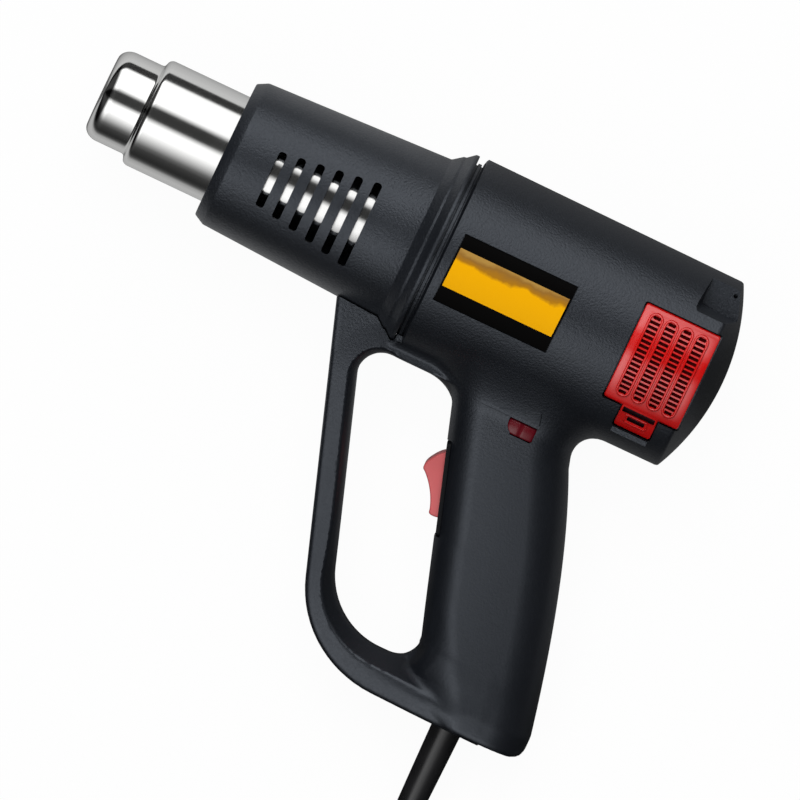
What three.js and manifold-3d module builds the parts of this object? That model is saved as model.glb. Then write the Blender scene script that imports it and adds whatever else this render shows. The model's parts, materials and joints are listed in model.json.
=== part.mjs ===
// Hot air tool with a closed D-shaped handle, lying on its right side on a bench.
// Millimetres. Pieces are drawn in the tool's own frame: x runs back from the nozzle's mouth along the
// barrel axis, y points away from the handle and z towards the tool's left side. The whole tool is then
// rolled about the barrel axis until the barrel and the edge of the handle base both touch the bench.

import * as THREE from "three";
import { mergeVertices } from "three/addons/utils/BufferGeometryUtils.js";
import Module from "manifold-3d";

// Fits
const FIT = 0.3; // clearance between two pieces that seat on each other
const PARTING_GAP = 0.3; // between the two halves of the housing

// Nozzle tube, the standard 35 mm tip that accessory nozzles push over
const TIP_RADIUS = 17.5;
const TIP_LENGTH = 16.8;
const LIP_LENGTH = 5.5; // rolled front edge, along the axis
const LIP_DEPTH = 4.5; // rolled front edge, inwards
const LIP_FLAT = 1.2; // flat rim round the mouth
const SHOULDER_LENGTH = 4.5;
const TUBE_RADIUS = 20.75;
const TUBE_WALL = 1;
const TUBE_FLANGE = 2.6; // how far the rear flange stands out
const TUBE_FLANGE_THICKNESS = 1.2;

// Front shroud, a slotted cone that keeps hands off the hot tube
const SHROUD_FRONT = 50;
const SHROUD_LENGTH = 74.8;
const SHROUD_FRONT_RADIUS = 28.3;
const SHROUD_REAR_RADIUS = 31.2;
const SHROUD_ROUND = 3; // front edge
const SHROUD_WALL = 2.2;
const COLLAR_LENGTH = 4; // front and rear walls that carry the tube
const FLARE_LENGTH = 7.6;
const FLANGE_STEP = 0.3; // flange inside the housing's outer radius
const FLANGE_WIDTH = 1.1;
const NECK_WIDTH = 2.5; // groove between flange and housing
const NECK_STEP = 3.6; // groove's floor inside the housing's outer radius
const SPIGOT_LENGTH = 4.4; // neck inside the housing's front bore
const SPIGOT_COLLAR_WIDTH = 2.4; // collar at its end, which the housing traps
const SLOT_COUNT = 6;
const SLOT_FIRST = 19.1; // first slot's centre behind the shroud's front
const SLOT_PITCH = 7.13;
const SLOT_WIDTH = 3.1;
const SLOT_FIRST_HALF = 10.8; // half height of the first slot
const SLOT_LAST_HALF = 17.2;

// Housing, two moulded halves that meet on the centre plane
const BARREL_RADIUS = 37.3;
const BARREL_TAPER = 0.7; // loss of radius towards the rear
const BARREL_LENGTH = 111.7; // front edge to the top of the rear dome
const DOME_RADIUS = 82;
const REAR_ROUND = 1;
const FRONT_CHAMFER = 0.8;
const WALL = 2.6;
const POCKET_LENGTH = 20.6; // cut-away at the top rear corner, measured from the dome's top
const POCKET_FLOOR = 12; // height of its floor above the centre plane
const POCKET_LEDGE = 24.5; // its lower wall above the barrel axis
const POCKET_DRAFT = 2; // how far that wall leans out at the skin
const POCKET_HOLE_RADIUS = 0.8;
const POCKET_HOLE_INSET = 9.3; // from the dome's top
const POCKET_HOLE_RISE = 32.3; // above the barrel axis
const POCKET_HOLE_DEPTH = 4;
const LABEL_INSET = 5; // recess for the label plate, behind the housing's front
const LABEL_LENGTH = 45.3;
const LABEL_HALF = 13.4;
const LABEL_DEPTH = 0.9;
const LABEL_THICKNESS = 0.4;
const LABEL_CORNER = 1.2;

// Handle, guard and base
const HANDLE_HEIGHT = 117.4; // barrel's underside to the base
const GUARD_SET_FORWARD = 24.1; // guard's outer line ahead of the housing's front
const GUARD_WIDTH = 11.4;
const GUARD_LEAN = THREE.MathUtils.degToRad(18.9);
const GUARD_HALF = 11.5; // half thickness of guard and web
const GUARD_BEVEL = 4;
const GUARD_SWEEP = 41.5; // radius where the guard turns into the base
const OPENING_DROP = 3.7; // web between barrel and finger opening
const OPENING_WIDTH = 36.9;
const OPENING_RADII = [9.5, 14, 7, 28.5]; // front top, rear top, rear bottom, front bottom
const BASE_THICKNESS = 15.9;
const BASE_HALF = 20;
const BASE_EDGE = 2.8; // rounding of the base's edges
const BASE_CORNER = 5.5;
const BASE_REAR = 103.8; // heel behind the housing's front
const BASE_FRONT = 46; // front of the thick part of the base, behind the housing's front
const HEEL_RISE = 8.7; // heel above the base
const GRIP_LEAN = THREE.MathUtils.degToRad(18);
const GRIP_HALF = 17;
const GRIP_ROOT = 4; // how far the grip's front spreads where it meets the barrel
const GRIP_THROAT = 74.4; // rear of the grip at its narrowest, behind the housing's front
const THROAT_DROP = 9.7; // the same point below the barrel
const GRIP_BEND = 91.6; // the rear edge bends here
const BEND_DROP = 50.7;
const THROAT_FILLET = 8;
const SECTION_POWER = 3; // squareness of the grip's oval section

// Rocker switch on the grip's front
const SWITCH_DROP = 39.8; // pivot below the barrel, along the grip's front line
const PIVOT_DEPTH = 4; // pivot behind the grip's front line
const ROCKER_REACH = 13.6; // pivot to the rocker's ends
const ROCKER_LOBE = 9.3; // pivot to the top of the lobes
const ROCKER_LOBE_OFFSET = 9;
const ROCKER_DISH = 1.3;
const ROCKER_HALF = 6.5;
const ROCKER_UNDERSIDE = 3.2;
const ROCKER_TILT = THREE.MathUtils.degToRad(12.5);
const ROCKER_CLEARANCE = 0.5;
const PIN_RADIUS = 1.2;
const SWITCH_WALL = 1.6;
const SWITCH_DEPTH = 17;
const BEZEL_RIM = 1.6;
const BEZEL_CORNER = 2;
const BEZEL_STAND = 0.8; // bezel proud of the grip's front line
const BEZEL_THICKNESS = 2.4;

// Temperature wheel and control board in the top of the grip
const WHEEL_INSET = 21.4; // wheel axis ahead of the grip's throat
const WHEEL_RADIUS = 17.5;
const WHEEL_THICKNESS = 5.4;
const WHEEL_DROP = 4.6; // wheel's top below the barrel
const WHEEL_TEETH = 32;
const WHEEL_TOOTH = 0.5;
const WINDOW_WIDTH = 10.8;
const POT_RADIUS = 3;
const POT_SIZE = 12;
const POT_HEIGHT = 3.4;
const BOARD_THICKNESS = 1.6;
const BOARD_LENGTH = 34;

// Air filters
const FILTER_FRONT = 36.6; // ahead of the dome's top
const FILTER_LENGTH = 29.5;
const FILTER_HALF = 18.9;
const FILTER_CORNER = 1;
const FILTER_THICKNESS = 2;
const FILTER_RECESS = 0.3; // below the barrel's skin
const FILTER_LEDGE = 2; // ledge that the cover seats on
const FILTER_LEDGE_DEPTH = 1.5;
const TAB_LENGTH = 14.2;
const TAB_DROP = 8.4;
const TAB_SLOT_LENGTH = 9;
const TAB_SLOT_HEIGHT = 1.8;
const COLUMN_COUNT = 4;
const COLUMN_PITCH = 6.03;
const SLIT_COUNT = 12;
const SLIT_PITCH = 2.5;
const SLIT_WIDTH = 3.5;
const SLIT_HEIGHT = 1.2;
const MESH_THICKNESS = 0.6;

// Heater
const HEATER_FRONT = 32;
const HEATER_LENGTH = 78;
const SLEEVE_WALL = 1;
const FORMER_THICKNESS = 1.4;
const FORMER_DISC = 3;
const HEATER_WIRE = 0.8; // radius
const HEATER_TURNS = 7;
const HEATER_END_MARGIN = 5;
const FUSE_RADIUS = 1.8;
const FUSE_LENGTH = 12;

// Motor and fan
const MOTOR_SETBACK = 20; // motor's front behind the housing's front
const MOTOR_LENGTH = 34;
const MOTOR_RADIUS = 14;
const MOTOR_WALL = 1.2;
const SHAFT_RADIUS = 1.2;
const SHAFT_STUB = 1.5; // shaft's ends beyond the motor and the fan
const BUSH_WALL = 1.6;
const BUSH_LENGTH = 4;
const END_CAP_LENGTH = 5;
const ARMATURE_RADIUS = 9.5;
const ARMATURE_GAP = 2.5; // clear of the bushes at each end
const FAN_GAP = 4; // motor's rear to the fan
const FAN_LENGTH = 11;
const FAN_RADIUS = 25;
const FAN_HUB = 8;
const FAN_BLADES = 9;
const BLADE_THICKNESS = 1.2;
const BLADE_PITCH = THREE.MathUtils.degToRad(38);
const FAN_TIP_GAP = 0.6;
const DUCT_WALL = 1.6;
const DUCT_FLANGE = 2.4;
const DUCT_VANES = 4;
const DUCT_HUB_LENGTH = 12;

// Fasteners
const SCREW_RADIUS = 1.5;
const SCREW_HEAD = 3.3;
const SCREW_HEAD_HEIGHT = 2.6;
const SCREW_SEAT = 8; // head's underside from the centre plane
const SCREW_REACH = 8; // tip beyond the centre plane
const BOSS_WALL = 2;
const BARREL_SCREW_RISE = 31; // barrel screws above the axis
const BARREL_SCREW_INSETS = [14, 83]; // behind the housing's front
const GRIP_SCREW = [3.4, 15.3]; // ahead of the grip's throat, below it
const BASE_SCREW = [93, 9]; // behind the housing's front, above the base
const GUARD_SCREW_DROP = 7.2; // below the barrel, in the guard's root
const GUARD_SCREW_SHIFT = 1; // behind the guard's middle line

// Cord entry and cord
const CORD_RADIUS = 3.7;
const CORD_SETBACK = 75.2; // cord's centre behind the housing's front
const BOOT_LENGTH = 48;
const BOOT_BASE_RADIUS = 5.75;
const BOOT_TIP_RADIUS = 4.5;
const BOOT_COLLAR = 2.6;
const BOOT_COLLAR_THICKNESS = 3;
const CLAMP_RISE = 14; // clamp bar above the base
const CLAMP_HEIGHT = 8;
const CLAMP_THICKNESS = 4;
const CLAMP_SPREAD = 9; // clamp screws either side of the cord
const CLAMP_SCREW_LENGTH = 9;
const TERMINAL_RISE = 46; // terminal block above the base
const TERMINAL_SIZE = [18, 10, 14];
const COIL_TURNS_LOW = 3.5;
const COIL_TURNS_HIGH = 3;
const COIL_PITCH = 8;
const COIL_INNER = 30;
const COIL_LAYER = 8;
const COIL_AWAY = [58, -258]; // coil's centre: right of the cord's exit, and along the bench from the axis
const LEAD_STRAIGHT = 16; // lead keeps the boot's direction this far
const LEAD_LANDING = 14; // lead comes down onto the bench this far before the coil
const LEAD_RISE = 0.6; // height it still has there
const TAIL_REACH = [6, 44]; // plug from the coil's end, across and along the bench
const TIE_THICKNESS = 1;
const TIE_WIDTH = 9;
const TIE_ANGLE = THREE.MathUtils.degToRad(225);
const PLUG_LENGTH = 40;
const PLUG_FACE = [17.5, 9]; // half width and half height at the pins
const PLUG_TAIL = [7, 6];
const PLUG_PIN_RADIUS = 2.4;
const PLUG_PIN_LENGTH = 19;
const PLUG_PIN_SPREAD = 9.5;

const ROUND_SIDES = 28; // facets round the large turned pieces
const INNER_SIDES = 20; // facets round the pieces inside
const SMALL_SIDES = 12; // facets round small ones
const SHANK_SIDES = 8; // facets round screws

const wasm = await Module();
wasm.setup();

// A closed three.js geometry as a solid
function solid(geometry) {
  const bare = geometry.clone();
  bare.deleteAttribute("normal");
  bare.deleteAttribute("uv");
  const merged = mergeVertices(bare, 1e-4);
  const corners = merged.index.array;
  const kept = [];
  for (let i = 0; i < corners.length; i += 3) {
    const [a, b, c] = [corners[i], corners[i + 1], corners[i + 2]];
    if (a !== b && b !== c && c !== a) kept.push(a, b, c);
  }
  if (signedVolume(merged.attributes.position, kept) < 0) kept.reverse();
  const vertProperties = new Float32Array(merged.attributes.position.array);
  return new wasm.Manifold(new wasm.Mesh({ numProp: 3, vertProperties, triVerts: new Uint32Array(kept) }));
}

function signedVolume(position, corners) {
  const [a, b, c] = [new THREE.Vector3(), new THREE.Vector3(), new THREE.Vector3()];
  let sum = 0;
  for (let i = 0; i < corners.length; i += 3) {
    a.fromBufferAttribute(position, corners[i]);
    b.fromBufferAttribute(position, corners[i + 1]);
    c.fromBufferAttribute(position, corners[i + 2]);
    sum += a.dot(b.cross(c));
  }
  return sum;
}

// A solid back as a geometry
function skin(made) {
  const { vertProperties, triVerts } = made.getMesh();
  const geometry = new THREE.BufferGeometry();
  geometry.setAttribute("position", new THREE.BufferAttribute(new Float32Array(vertProperties), 3));
  geometry.setIndex(new THREE.BufferAttribute(new Uint32Array(triVerts), 1));
  geometry.computeVertexNormals();
  return geometry;
}

// Turned body about the barrel axis; a profile is a list of [x, radius]
function revolve(profile, sides = ROUND_SIDES) {
  const points = profile.map(([x, radius]) => new THREE.Vector2(radius, x));
  if (profile[0][1] > 0) points.push(points[0].clone());
  return solid(new THREE.LatheGeometry(points, sides).rotateZ(-Math.PI / 2));
}

function tubeRing(x0, x1, inner, outer, sides = ROUND_SIDES) {
  const profile = [[x0, outer], [x1, outer], [x1, inner], [x0, inner]];
  return revolve(inner > 0 ? profile : [[x0, 0], [x0, outer], [x1, outer], [x1, 0]], sides);
}

function box(x0, x1, y0, y1, z0, z1) {
  const geometry = new THREE.BoxGeometry(x1 - x0, y1 - y0, z1 - z0);
  return geometry.translate((x0 + x1) / 2, (y0 + y1) / 2, (z0 + z1) / 2);
}

// Outline in the xy plane, drawn out along z
function drawnAlongZ(outline, z0, z1) {
  const options = { depth: z1 - z0, bevelEnabled: false, curveSegments: 6 };
  return new THREE.ExtrudeGeometry(outline, options).translate(0, 0, z0);
}

// Outline in the yz plane, drawn out along x
function drawnAlongX(outline, x0, x1) {
  const turn = new THREE.Matrix4().makeBasis(
    new THREE.Vector3(0, 1, 0),
    new THREE.Vector3(0, 0, 1),
    new THREE.Vector3(1, 0, 0),
  );
  return drawnAlongZ(outline, x0, x1).applyMatrix4(turn);
}

function rodAlongZ(x, y, radius, z0, z1, sides = SMALL_SIDES) {
  const geometry = new THREE.CylinderGeometry(radius, radius, z1 - z0, sides);
  return geometry.rotateX(Math.PI / 2).translate(x, y, (z0 + z1) / 2);
}

function rodAlongY(x, z, radius, y0, y1, sides = SMALL_SIDES) {
  return new THREE.CylinderGeometry(radius, radius, y1 - y0, sides).translate(x, (y0 + y1) / 2, z);
}

// Outline through corners [x, y, radius], each rounded by its radius
function roundedPoints(corners, stepAngle = Math.PI / 9) {
  const points = [];
  corners.forEach(([x, y, radius], i) => {
    const here = new THREE.Vector2(x, y);
    if (!radius) {
      points.push(here);
      return;
    }
    const count = corners.length;
    const [bx, by] = corners[(i + count - 1) % count];
    const [ax, ay] = corners[(i + 1) % count];
    const back = new THREE.Vector2(bx, by).sub(here).normalize();
    const ahead = new THREE.Vector2(ax, ay).sub(here).normalize();
    const half = Math.acos(THREE.MathUtils.clamp(back.dot(ahead), -1, 1)) / 2;
    const middle = back.clone().add(ahead).normalize();
    const centre = here.clone().addScaledVector(middle, radius / Math.sin(half));
    const start = here.clone().addScaledVector(back, radius / Math.tan(half)).sub(centre);
    const end = here.clone().addScaledVector(ahead, radius / Math.tan(half)).sub(centre);
    const turn = Math.atan2(start.cross(end), start.dot(end));
    const arcSteps = Math.ceil(Math.abs(turn) / stepAngle);
    for (const angle of steps(arcSteps, 0, turn)) {
      points.push(start.clone().rotateAround(new THREE.Vector2(), angle).add(centre));
    }
  });
  return points;
}

function roundedBox(x0, x1, y0, y1, radius) {
  const corners = [[x0, y0], [x1, y0], [x1, y1], [x0, y1]];
  return new THREE.Shape(roundedPoints(corners.map(([x, y]) => [x, y, radius])));
}

// Skin through closed rings of equal point counts, closed at both ends
function loft(rings) {
  const count = rings[0].length;
  const points = rings.flat();
  const index = [];
  for (let r = 0; r + 1 < rings.length; r++) {
    for (let i = 0; i < count; i++) {
      const j = (i + 1) % count;
      const [a, b] = [r * count + i, r * count + j];
      index.push(a, b, b + count, a, b + count, a + count);
    }
  }
  for (const [first, flip] of [[0, true], [(rings.length - 1) * count, false]]) {
    for (let i = 1; i + 1 < count; i++) {
      index.push(first, first + (flip ? i + 1 : i), first + (flip ? i : i + 1));
    }
  }
  const geometry = new THREE.BufferGeometry().setFromPoints(points);
  geometry.setIndex(index);
  return geometry;
}

// Round tube along points; across gives a direction that is never along the path
function tubeThrough(points, radius, sides, across) {
  const rings = points.map((point, i) => {
    const before = points[Math.max(i - 1, 0)];
    const after = points[Math.min(i + 1, points.length - 1)];
    const along = after.clone().sub(before).normalize();
    const side = across(point).cross(along).normalize();
    const rise = along.clone().cross(side);
    return Array.from({ length: sides }, (_, k) => {
      const angle = (2 * Math.PI * k) / sides;
      const offset = side.clone().multiplyScalar(radius * Math.cos(angle));
      return offset.addScaledVector(rise, radius * Math.sin(angle)).add(point);
    });
  });
  return loft(rings);
}

function steps(count, from, to) {
  return Array.from({ length: count + 1 }, (_, i) => from + ((to - from) * i) / count);
}

// Places along the barrel that several pieces share
const shroudRear = SHROUD_FRONT + SHROUD_LENGTH;
const flangeFront = shroudRear + FLARE_LENGTH;
const flangeRear = flangeFront + FLANGE_WIDTH;
const housingFront = flangeRear + NECK_WIDTH;
const spigotEnd = housingFront + SPIGOT_LENGTH;
const collarEnd = spigotEnd + FIT + SPIGOT_COLLAR_WIDTH;
const domeTop = housingFront + BARREL_LENGTH;
const tubeEnd = shroudRear + COLLAR_LENGTH / 2 + FIT + TUBE_FLANGE_THICKNESS;
const rearRadius = BARREL_RADIUS - BARREL_TAPER;
const flangeRadius = BARREL_RADIUS - FLANGE_STEP;
const neckRadius = BARREL_RADIUS - NECK_STEP;
const underside = -BARREL_RADIUS;
const baseY = underside - HANDLE_HEIGHT;

function barrelRadius(x) {
  return BARREL_RADIUS - (BARREL_TAPER * (x - housingFront)) / BARREL_LENGTH;
}

function shroudRadius(x) {
  const rise = SHROUD_REAR_RADIUS - SHROUD_FRONT_RADIUS;
  return SHROUD_FRONT_RADIUS + (rise * (x - SHROUD_FRONT)) / SHROUD_LENGTH;
}

// Finger opening and guard lines
const openingTop = underside - OPENING_DROP;
const openingBottom = baseY + BASE_THICKNESS;
const guardFront = housingFront - GUARD_SET_FORWARD;
const openingFront = guardFront + GUARD_WIDTH;
const openingRear = openingFront + OPENING_WIDTH;

function guardLine(start, y) {
  return start + (openingTop - y) * Math.tan(GUARD_LEAN);
}

function gripLine(y) {
  return openingRear + (openingTop - y) * Math.tan(GRIP_LEAN);
}

function openingOutline() {
  const [frontTop, rearTop, rearBottom, frontBottom] = OPENING_RADII;
  return roundedPoints([
    [openingFront, openingTop, frontTop],
    [guardLine(openingFront, openingBottom), openingBottom, frontBottom],
    [gripLine(openingBottom), openingBottom, rearBottom],
    [openingRear, openingTop, rearTop],
  ]);
}

const throat = new THREE.Vector2(housingFront + GRIP_THROAT, underside - THROAT_DROP);
const bend = new THREE.Vector2(housingFront + GRIP_BEND, underside - BEND_DROP);
const heel = new THREE.Vector2(housingFront + BASE_REAR, baseY + HEEL_RISE);

// Guard, web and base as one plate with rounded edges and the finger opening through it
function guardPlate() {
  const inside = underside + BARREL_RADIUS / 2;
  const outline = new THREE.Shape(roundedPoints([
    [guardLine(guardFront, inside), inside, 0],
    [guardLine(guardFront, baseY), baseY, GUARD_SWEEP],
    [heel.x, baseY, BASE_CORNER],
    [heel.x, heel.y, 0],
    [throat.x - THROAT_FILLET, throat.y, 0],
    [throat.x - THROAT_FILLET, inside, 0],
  ]));
  outline.holes.push(new THREE.Path(openingOutline()));
  const geometry = new THREE.ExtrudeGeometry(outline, {
    depth: 2 * (GUARD_HALF - GUARD_BEVEL),
    bevelThickness: GUARD_BEVEL,
    bevelSize: GUARD_BEVEL,
    bevelOffset: -GUARD_BEVEL,
    bevelSegments: 1,
    curveSegments: 1,
  });
  return solid(geometry.translate(0, 0, GUARD_BEVEL - GUARD_HALF));
}

// Oval sections of the grip from the barrel down to the base: y, front, rear and half thickness
function gripStations() {
  const edge = new THREE.QuadraticBezierCurve(throat, bend, heel);
  const footFront = housingFront + BASE_FRONT;
  const lowestFront = gripLine(openingBottom + OPENING_RADII[2]);
  const stations = [
    [underside + BARREL_RADIUS / 4, openingRear - GRIP_ROOT, throat.x + THROAT_FILLET * 1.25, GRIP_HALF],
    [underside - THROAT_DROP / 10, openingRear - GRIP_ROOT * 0.75, throat.x + THROAT_FILLET / 2, GRIP_HALF],
    [underside - THROAT_DROP / 2, openingRear - GRIP_ROOT / 4, throat.x + THROAT_FILLET / 8, GRIP_HALF],
  ];
  for (const along of steps(6, 0, 1)) {
    const rear = edge.getPoint(along);
    const front = along < 1 ? Math.min(gripLine(rear.y), lowestFront) : footFront;
    stations.push([rear.y, front, rear.x, THREE.MathUtils.lerp(GRIP_HALF, BASE_HALF, along ** 4)]);
  }
  stations.push([baseY + BASE_EDGE, footFront, heel.x, BASE_HALF]);
  stations.push([baseY, footFront + BASE_EDGE, heel.x - BASE_EDGE, BASE_HALF - BASE_EDGE]);
  return stations;
}

// The grip as a skin through those sections; inset gives the hollow inside it, closed above the base
function gripLoft(inset) {
  let stations = gripStations();
  if (inset) {
    stations = stations.filter(([y]) => y > baseY + 2 * inset);
    stations.push([baseY + inset, ...stations.at(-1).slice(1)]);
  }
  const points = 24;
  const bulge = (value) => Math.sign(value) * Math.abs(value) ** (2 / SECTION_POWER);
  const ring = ([y, front, rear, half]) => steps(points, 0, 2 * Math.PI).slice(0, points).map(
    (angle) => new THREE.Vector3(
      (front + rear) / 2 + ((rear - front) / 2 - inset) * bulge(Math.cos(angle)),
      y,
      (half - inset) * bulge(Math.sin(angle)),
    ),
  );
  return solid(loft(stations.map(ring)));
}

// Half thickness of the hollow in the grip at a place on the centre plane
function gripRoom(x, y) {
  const stations = gripStations();
  const below = stations.findIndex(([level]) => level < y);
  const [upper, lower] = [stations[below - 1], stations[below]];
  const share = (upper[0] - y) / (upper[0] - lower[0]);
  const [front, rear, half] = [1, 2, 3].map((i) => THREE.MathUtils.lerp(upper[i], lower[i], share));
  const across = (2 * x - front - rear) / (rear - front - 2 * WALL);
  return (half - WALL) * (1 - Math.abs(across) ** SECTION_POWER) ** (1 / SECTION_POWER);
}

// Barrel with its domed rear; inset gives the hollow inside it
function barrel(inset, front) {
  const bow = DOME_RADIUS - inset;
  const domeX = (radius) => domeTop - DOME_RADIUS + Math.sqrt(bow ** 2 - radius ** 2);
  const rim = rearRadius - inset;
  const shoulder = rim - REAR_ROUND;
  const chamfer = inset ? 0 : FRONT_CHAMFER;
  const profile = [
    [front, 0],
    [front, barrelRadius(front) - inset - chamfer],
    [front + FRONT_CHAMFER, barrelRadius(front) - inset],
    [domeX(rim) - REAR_ROUND, rim],
    [domeX(rim) - REAR_ROUND * 0.3, rim - REAR_ROUND * 0.3],
  ];
  for (const share of [1, 0.75, 0.5, 0.25]) profile.push([domeX(shoulder * share), shoulder * share]);
  profile.push([domeX(0), 0]);
  return revolve(profile);
}

// Outside of the shroud as [x, radius], front to rear, grown by clearance
function shroudOutside(clearance) {
  const stepped = (SHROUD_REAR_RADIUS + flangeRadius) / 2;
  return [
    [SHROUD_FRONT, SHROUD_FRONT_RADIUS - SHROUD_ROUND],
    [SHROUD_FRONT + SHROUD_ROUND * 0.3, shroudRadius(SHROUD_FRONT) - SHROUD_ROUND * 0.3],
    [SHROUD_FRONT + SHROUD_ROUND, shroudRadius(SHROUD_FRONT + SHROUD_ROUND)],
    [shroudRear, SHROUD_REAR_RADIUS],
    [shroudRear + FLARE_LENGTH * 0.5, stepped - 0.6],
    [shroudRear + FLARE_LENGTH * 0.55, stepped],
    [flangeFront, flangeRadius],
    [flangeRear, flangeRadius],
  ].map(([x, radius]) => [x, radius + clearance]);
}

function frontShroud() {
  const bore = TUBE_RADIUS + FIT;
  const spigotWall = neckRadius - SHROUD_WALL;
  const spigotCollar = barrelRadius(collarEnd) - WALL - FIT;
  const rearWall = shroudRear - COLLAR_LENGTH / 2;
  let shroud = revolve([
    [SHROUD_FRONT, bore],
    ...shroudOutside(0),
    [flangeRear, neckRadius],
    [spigotEnd + FIT, neckRadius],
    [spigotEnd + FIT, spigotCollar],
    [collarEnd, spigotCollar],
    [collarEnd, spigotWall],
    [rearWall + COLLAR_LENGTH, spigotWall],
    [rearWall + COLLAR_LENGTH, bore],
    [rearWall, bore],
    [rearWall, shroudRadius(rearWall) - SHROUD_WALL],
    [SHROUD_FRONT + COLLAR_LENGTH, SHROUD_FRONT_RADIUS - SHROUD_WALL],
    [SHROUD_FRONT + COLLAR_LENGTH, bore],
  ]);
  for (let i = 0; i < SLOT_COUNT; i++) {
    const x = SHROUD_FRONT + SLOT_FIRST + i * SLOT_PITCH;
    const half = THREE.MathUtils.lerp(SLOT_FIRST_HALF, SLOT_LAST_HALF, i / (SLOT_COUNT - 1));
    const slot = roundedPoints([
      [x - SLOT_WIDTH / 2, -half, SLOT_WIDTH / 2.1],
      [x + SLOT_WIDTH / 2, -half, SLOT_WIDTH / 2.1],
      [x + SLOT_WIDTH / 2, half, SLOT_WIDTH / 2.1],
      [x - SLOT_WIDTH / 2, half, SLOT_WIDTH / 2.1],
    ], Math.PI / 2);
    shroud = shroud.subtract(solid(drawnAlongZ(new THREE.Shape(slot), -flangeRadius, flangeRadius)));
  }
  return shroud;
}

function nozzleTube() {
  const mouth = TIP_RADIUS - LIP_DEPTH;
  const shoulderEnd = TIP_LENGTH + SHOULDER_LENGTH;
  const rolled = (inset, count) => steps(count, 0, Math.PI / 2).map((angle) => [
    inset + (LIP_LENGTH - inset) * (1 - Math.cos(angle)),
    mouth - inset + LIP_DEPTH * Math.sin(angle),
  ]);
  const stepUp = (inset, count) => steps(count, 0, 1).map((share) => [
    TIP_LENGTH + SHOULDER_LENGTH * share + inset,
    THREE.MathUtils.lerp(TIP_RADIUS, TUBE_RADIUS, THREE.MathUtils.smoothstep(share, 0, 1)) - inset,
  ]);
  return revolve([
    [0, mouth - LIP_FLAT],
    ...rolled(0, 3),
    ...stepUp(0, 4),
    [tubeEnd - TUBE_FLANGE_THICKNESS, TUBE_RADIUS],
    [tubeEnd - TUBE_FLANGE_THICKNESS, TUBE_RADIUS + TUBE_FLANGE],
    [tubeEnd, TUBE_RADIUS + TUBE_FLANGE],
    [tubeEnd, TUBE_RADIUS - TUBE_WALL],
    ...stepUp(TUBE_WALL, 1).reverse(),
    ...rolled(TUBE_WALL, 1).reverse(),
    [TUBE_WALL, mouth - LIP_FLAT],
  ]);
}

// Heater
const tubeBore = TUBE_RADIUS - TUBE_WALL;
const heaterRear = HEATER_FRONT + HEATER_LENGTH;
const sleeveBore = tubeBore - FIT - SLEEVE_WALL;
const windingRadius = sleeveBore - HEATER_WIRE - 2 * FIT;
const formerRadius = windingRadius - HEATER_WIRE - FIT;

function heaterFormer() {
  const vane = FORMER_THICKNESS / 2;
  const cross = (turned) => solid(turned
    ? box(HEATER_FRONT, heaterRear, -vane, vane, -formerRadius, formerRadius)
    : box(HEATER_FRONT, heaterRear, -formerRadius, formerRadius, -vane, vane));
  let disc = tubeRing(heaterRear - FIT, heaterRear + FORMER_DISC, 0, tubeBore - FIT, INNER_SIDES);
  const hole = formerRadius / 3;
  const [x0, x1] = [heaterRear - 1, heaterRear + FORMER_DISC + 1];
  for (const y of [-1, 1]) {
    for (const z of [-1, 1]) {
      const [cy, cz] = [(y * formerRadius) / 2, (z * formerRadius) / 2];
      disc = disc.subtract(solid(box(x0, x1, cy - hole, cy + hole, cz - hole, cz + hole)));
    }
  }
  return cross(false).add(cross(true)).add(disc);
}

function heaterWinding() {
  const start = HEATER_FRONT + HEATER_END_MARGIN;
  const end = heaterRear - HEATER_END_MARGIN;
  const stepsPerCurl = 8;
  const points = steps(HEATER_TURNS * stepsPerCurl, 0, 1).map((share) => {
    const angle = share * HEATER_TURNS * 2 * Math.PI;
    return new THREE.Vector3(
      start + (end - start) * share,
      windingRadius * Math.cos(angle),
      windingRadius * Math.sin(angle),
    );
  });
  return tubeThrough(points, HEATER_WIRE, 5, () => new THREE.Vector3(1, 0, 0));
}

// Motor, fan and the duct that carries them
const motorFront = housingFront + MOTOR_SETBACK;
const motorRear = motorFront + MOTOR_LENGTH;
const fanFront = motorRear + FAN_GAP;
const fanRear = fanFront + FAN_LENGTH;
const shaftBore = SHAFT_RADIUS + FIT;
const bushRadius = shaftBore + BUSH_WALL;

function motorCan() {
  const bore = MOTOR_RADIUS - MOTOR_WALL;
  const seat = bushRadius + FIT;
  return revolve([
    [motorFront, MOTOR_RADIUS],
    [motorRear, MOTOR_RADIUS],
    [motorRear, bore],
    [motorFront + MOTOR_WALL, bore],
    [motorFront + MOTOR_WALL, seat + MOTOR_WALL],
    [motorFront + BUSH_LENGTH, seat + MOTOR_WALL],
    [motorFront + BUSH_LENGTH, seat],
    [motorFront, seat],
  ], INNER_SIDES);
}

function fanImpeller() {
  let fan = tubeRing(fanFront, fanRear, shaftBore, FAN_HUB, INNER_SIDES);
  const sweep = tubeRing(fanFront, fanRear, FAN_HUB - 1, FAN_RADIUS, INNER_SIDES);
  const length = FAN_LENGTH / Math.cos(BLADE_PITCH) + BLADE_THICKNESS;
  for (let i = 0; i < FAN_BLADES; i++) {
    const blade = new THREE.BoxGeometry(length, FAN_RADIUS - FAN_HUB + 3, BLADE_THICKNESS);
    blade.rotateY(BLADE_PITCH).translate((fanFront + fanRear) / 2, (FAN_RADIUS + FAN_HUB) / 2, 0);
    blade.rotateX((2 * Math.PI * i) / FAN_BLADES);
    fan = fan.add(solid(blade).intersect(sweep));
  }
  return fan;
}

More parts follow.
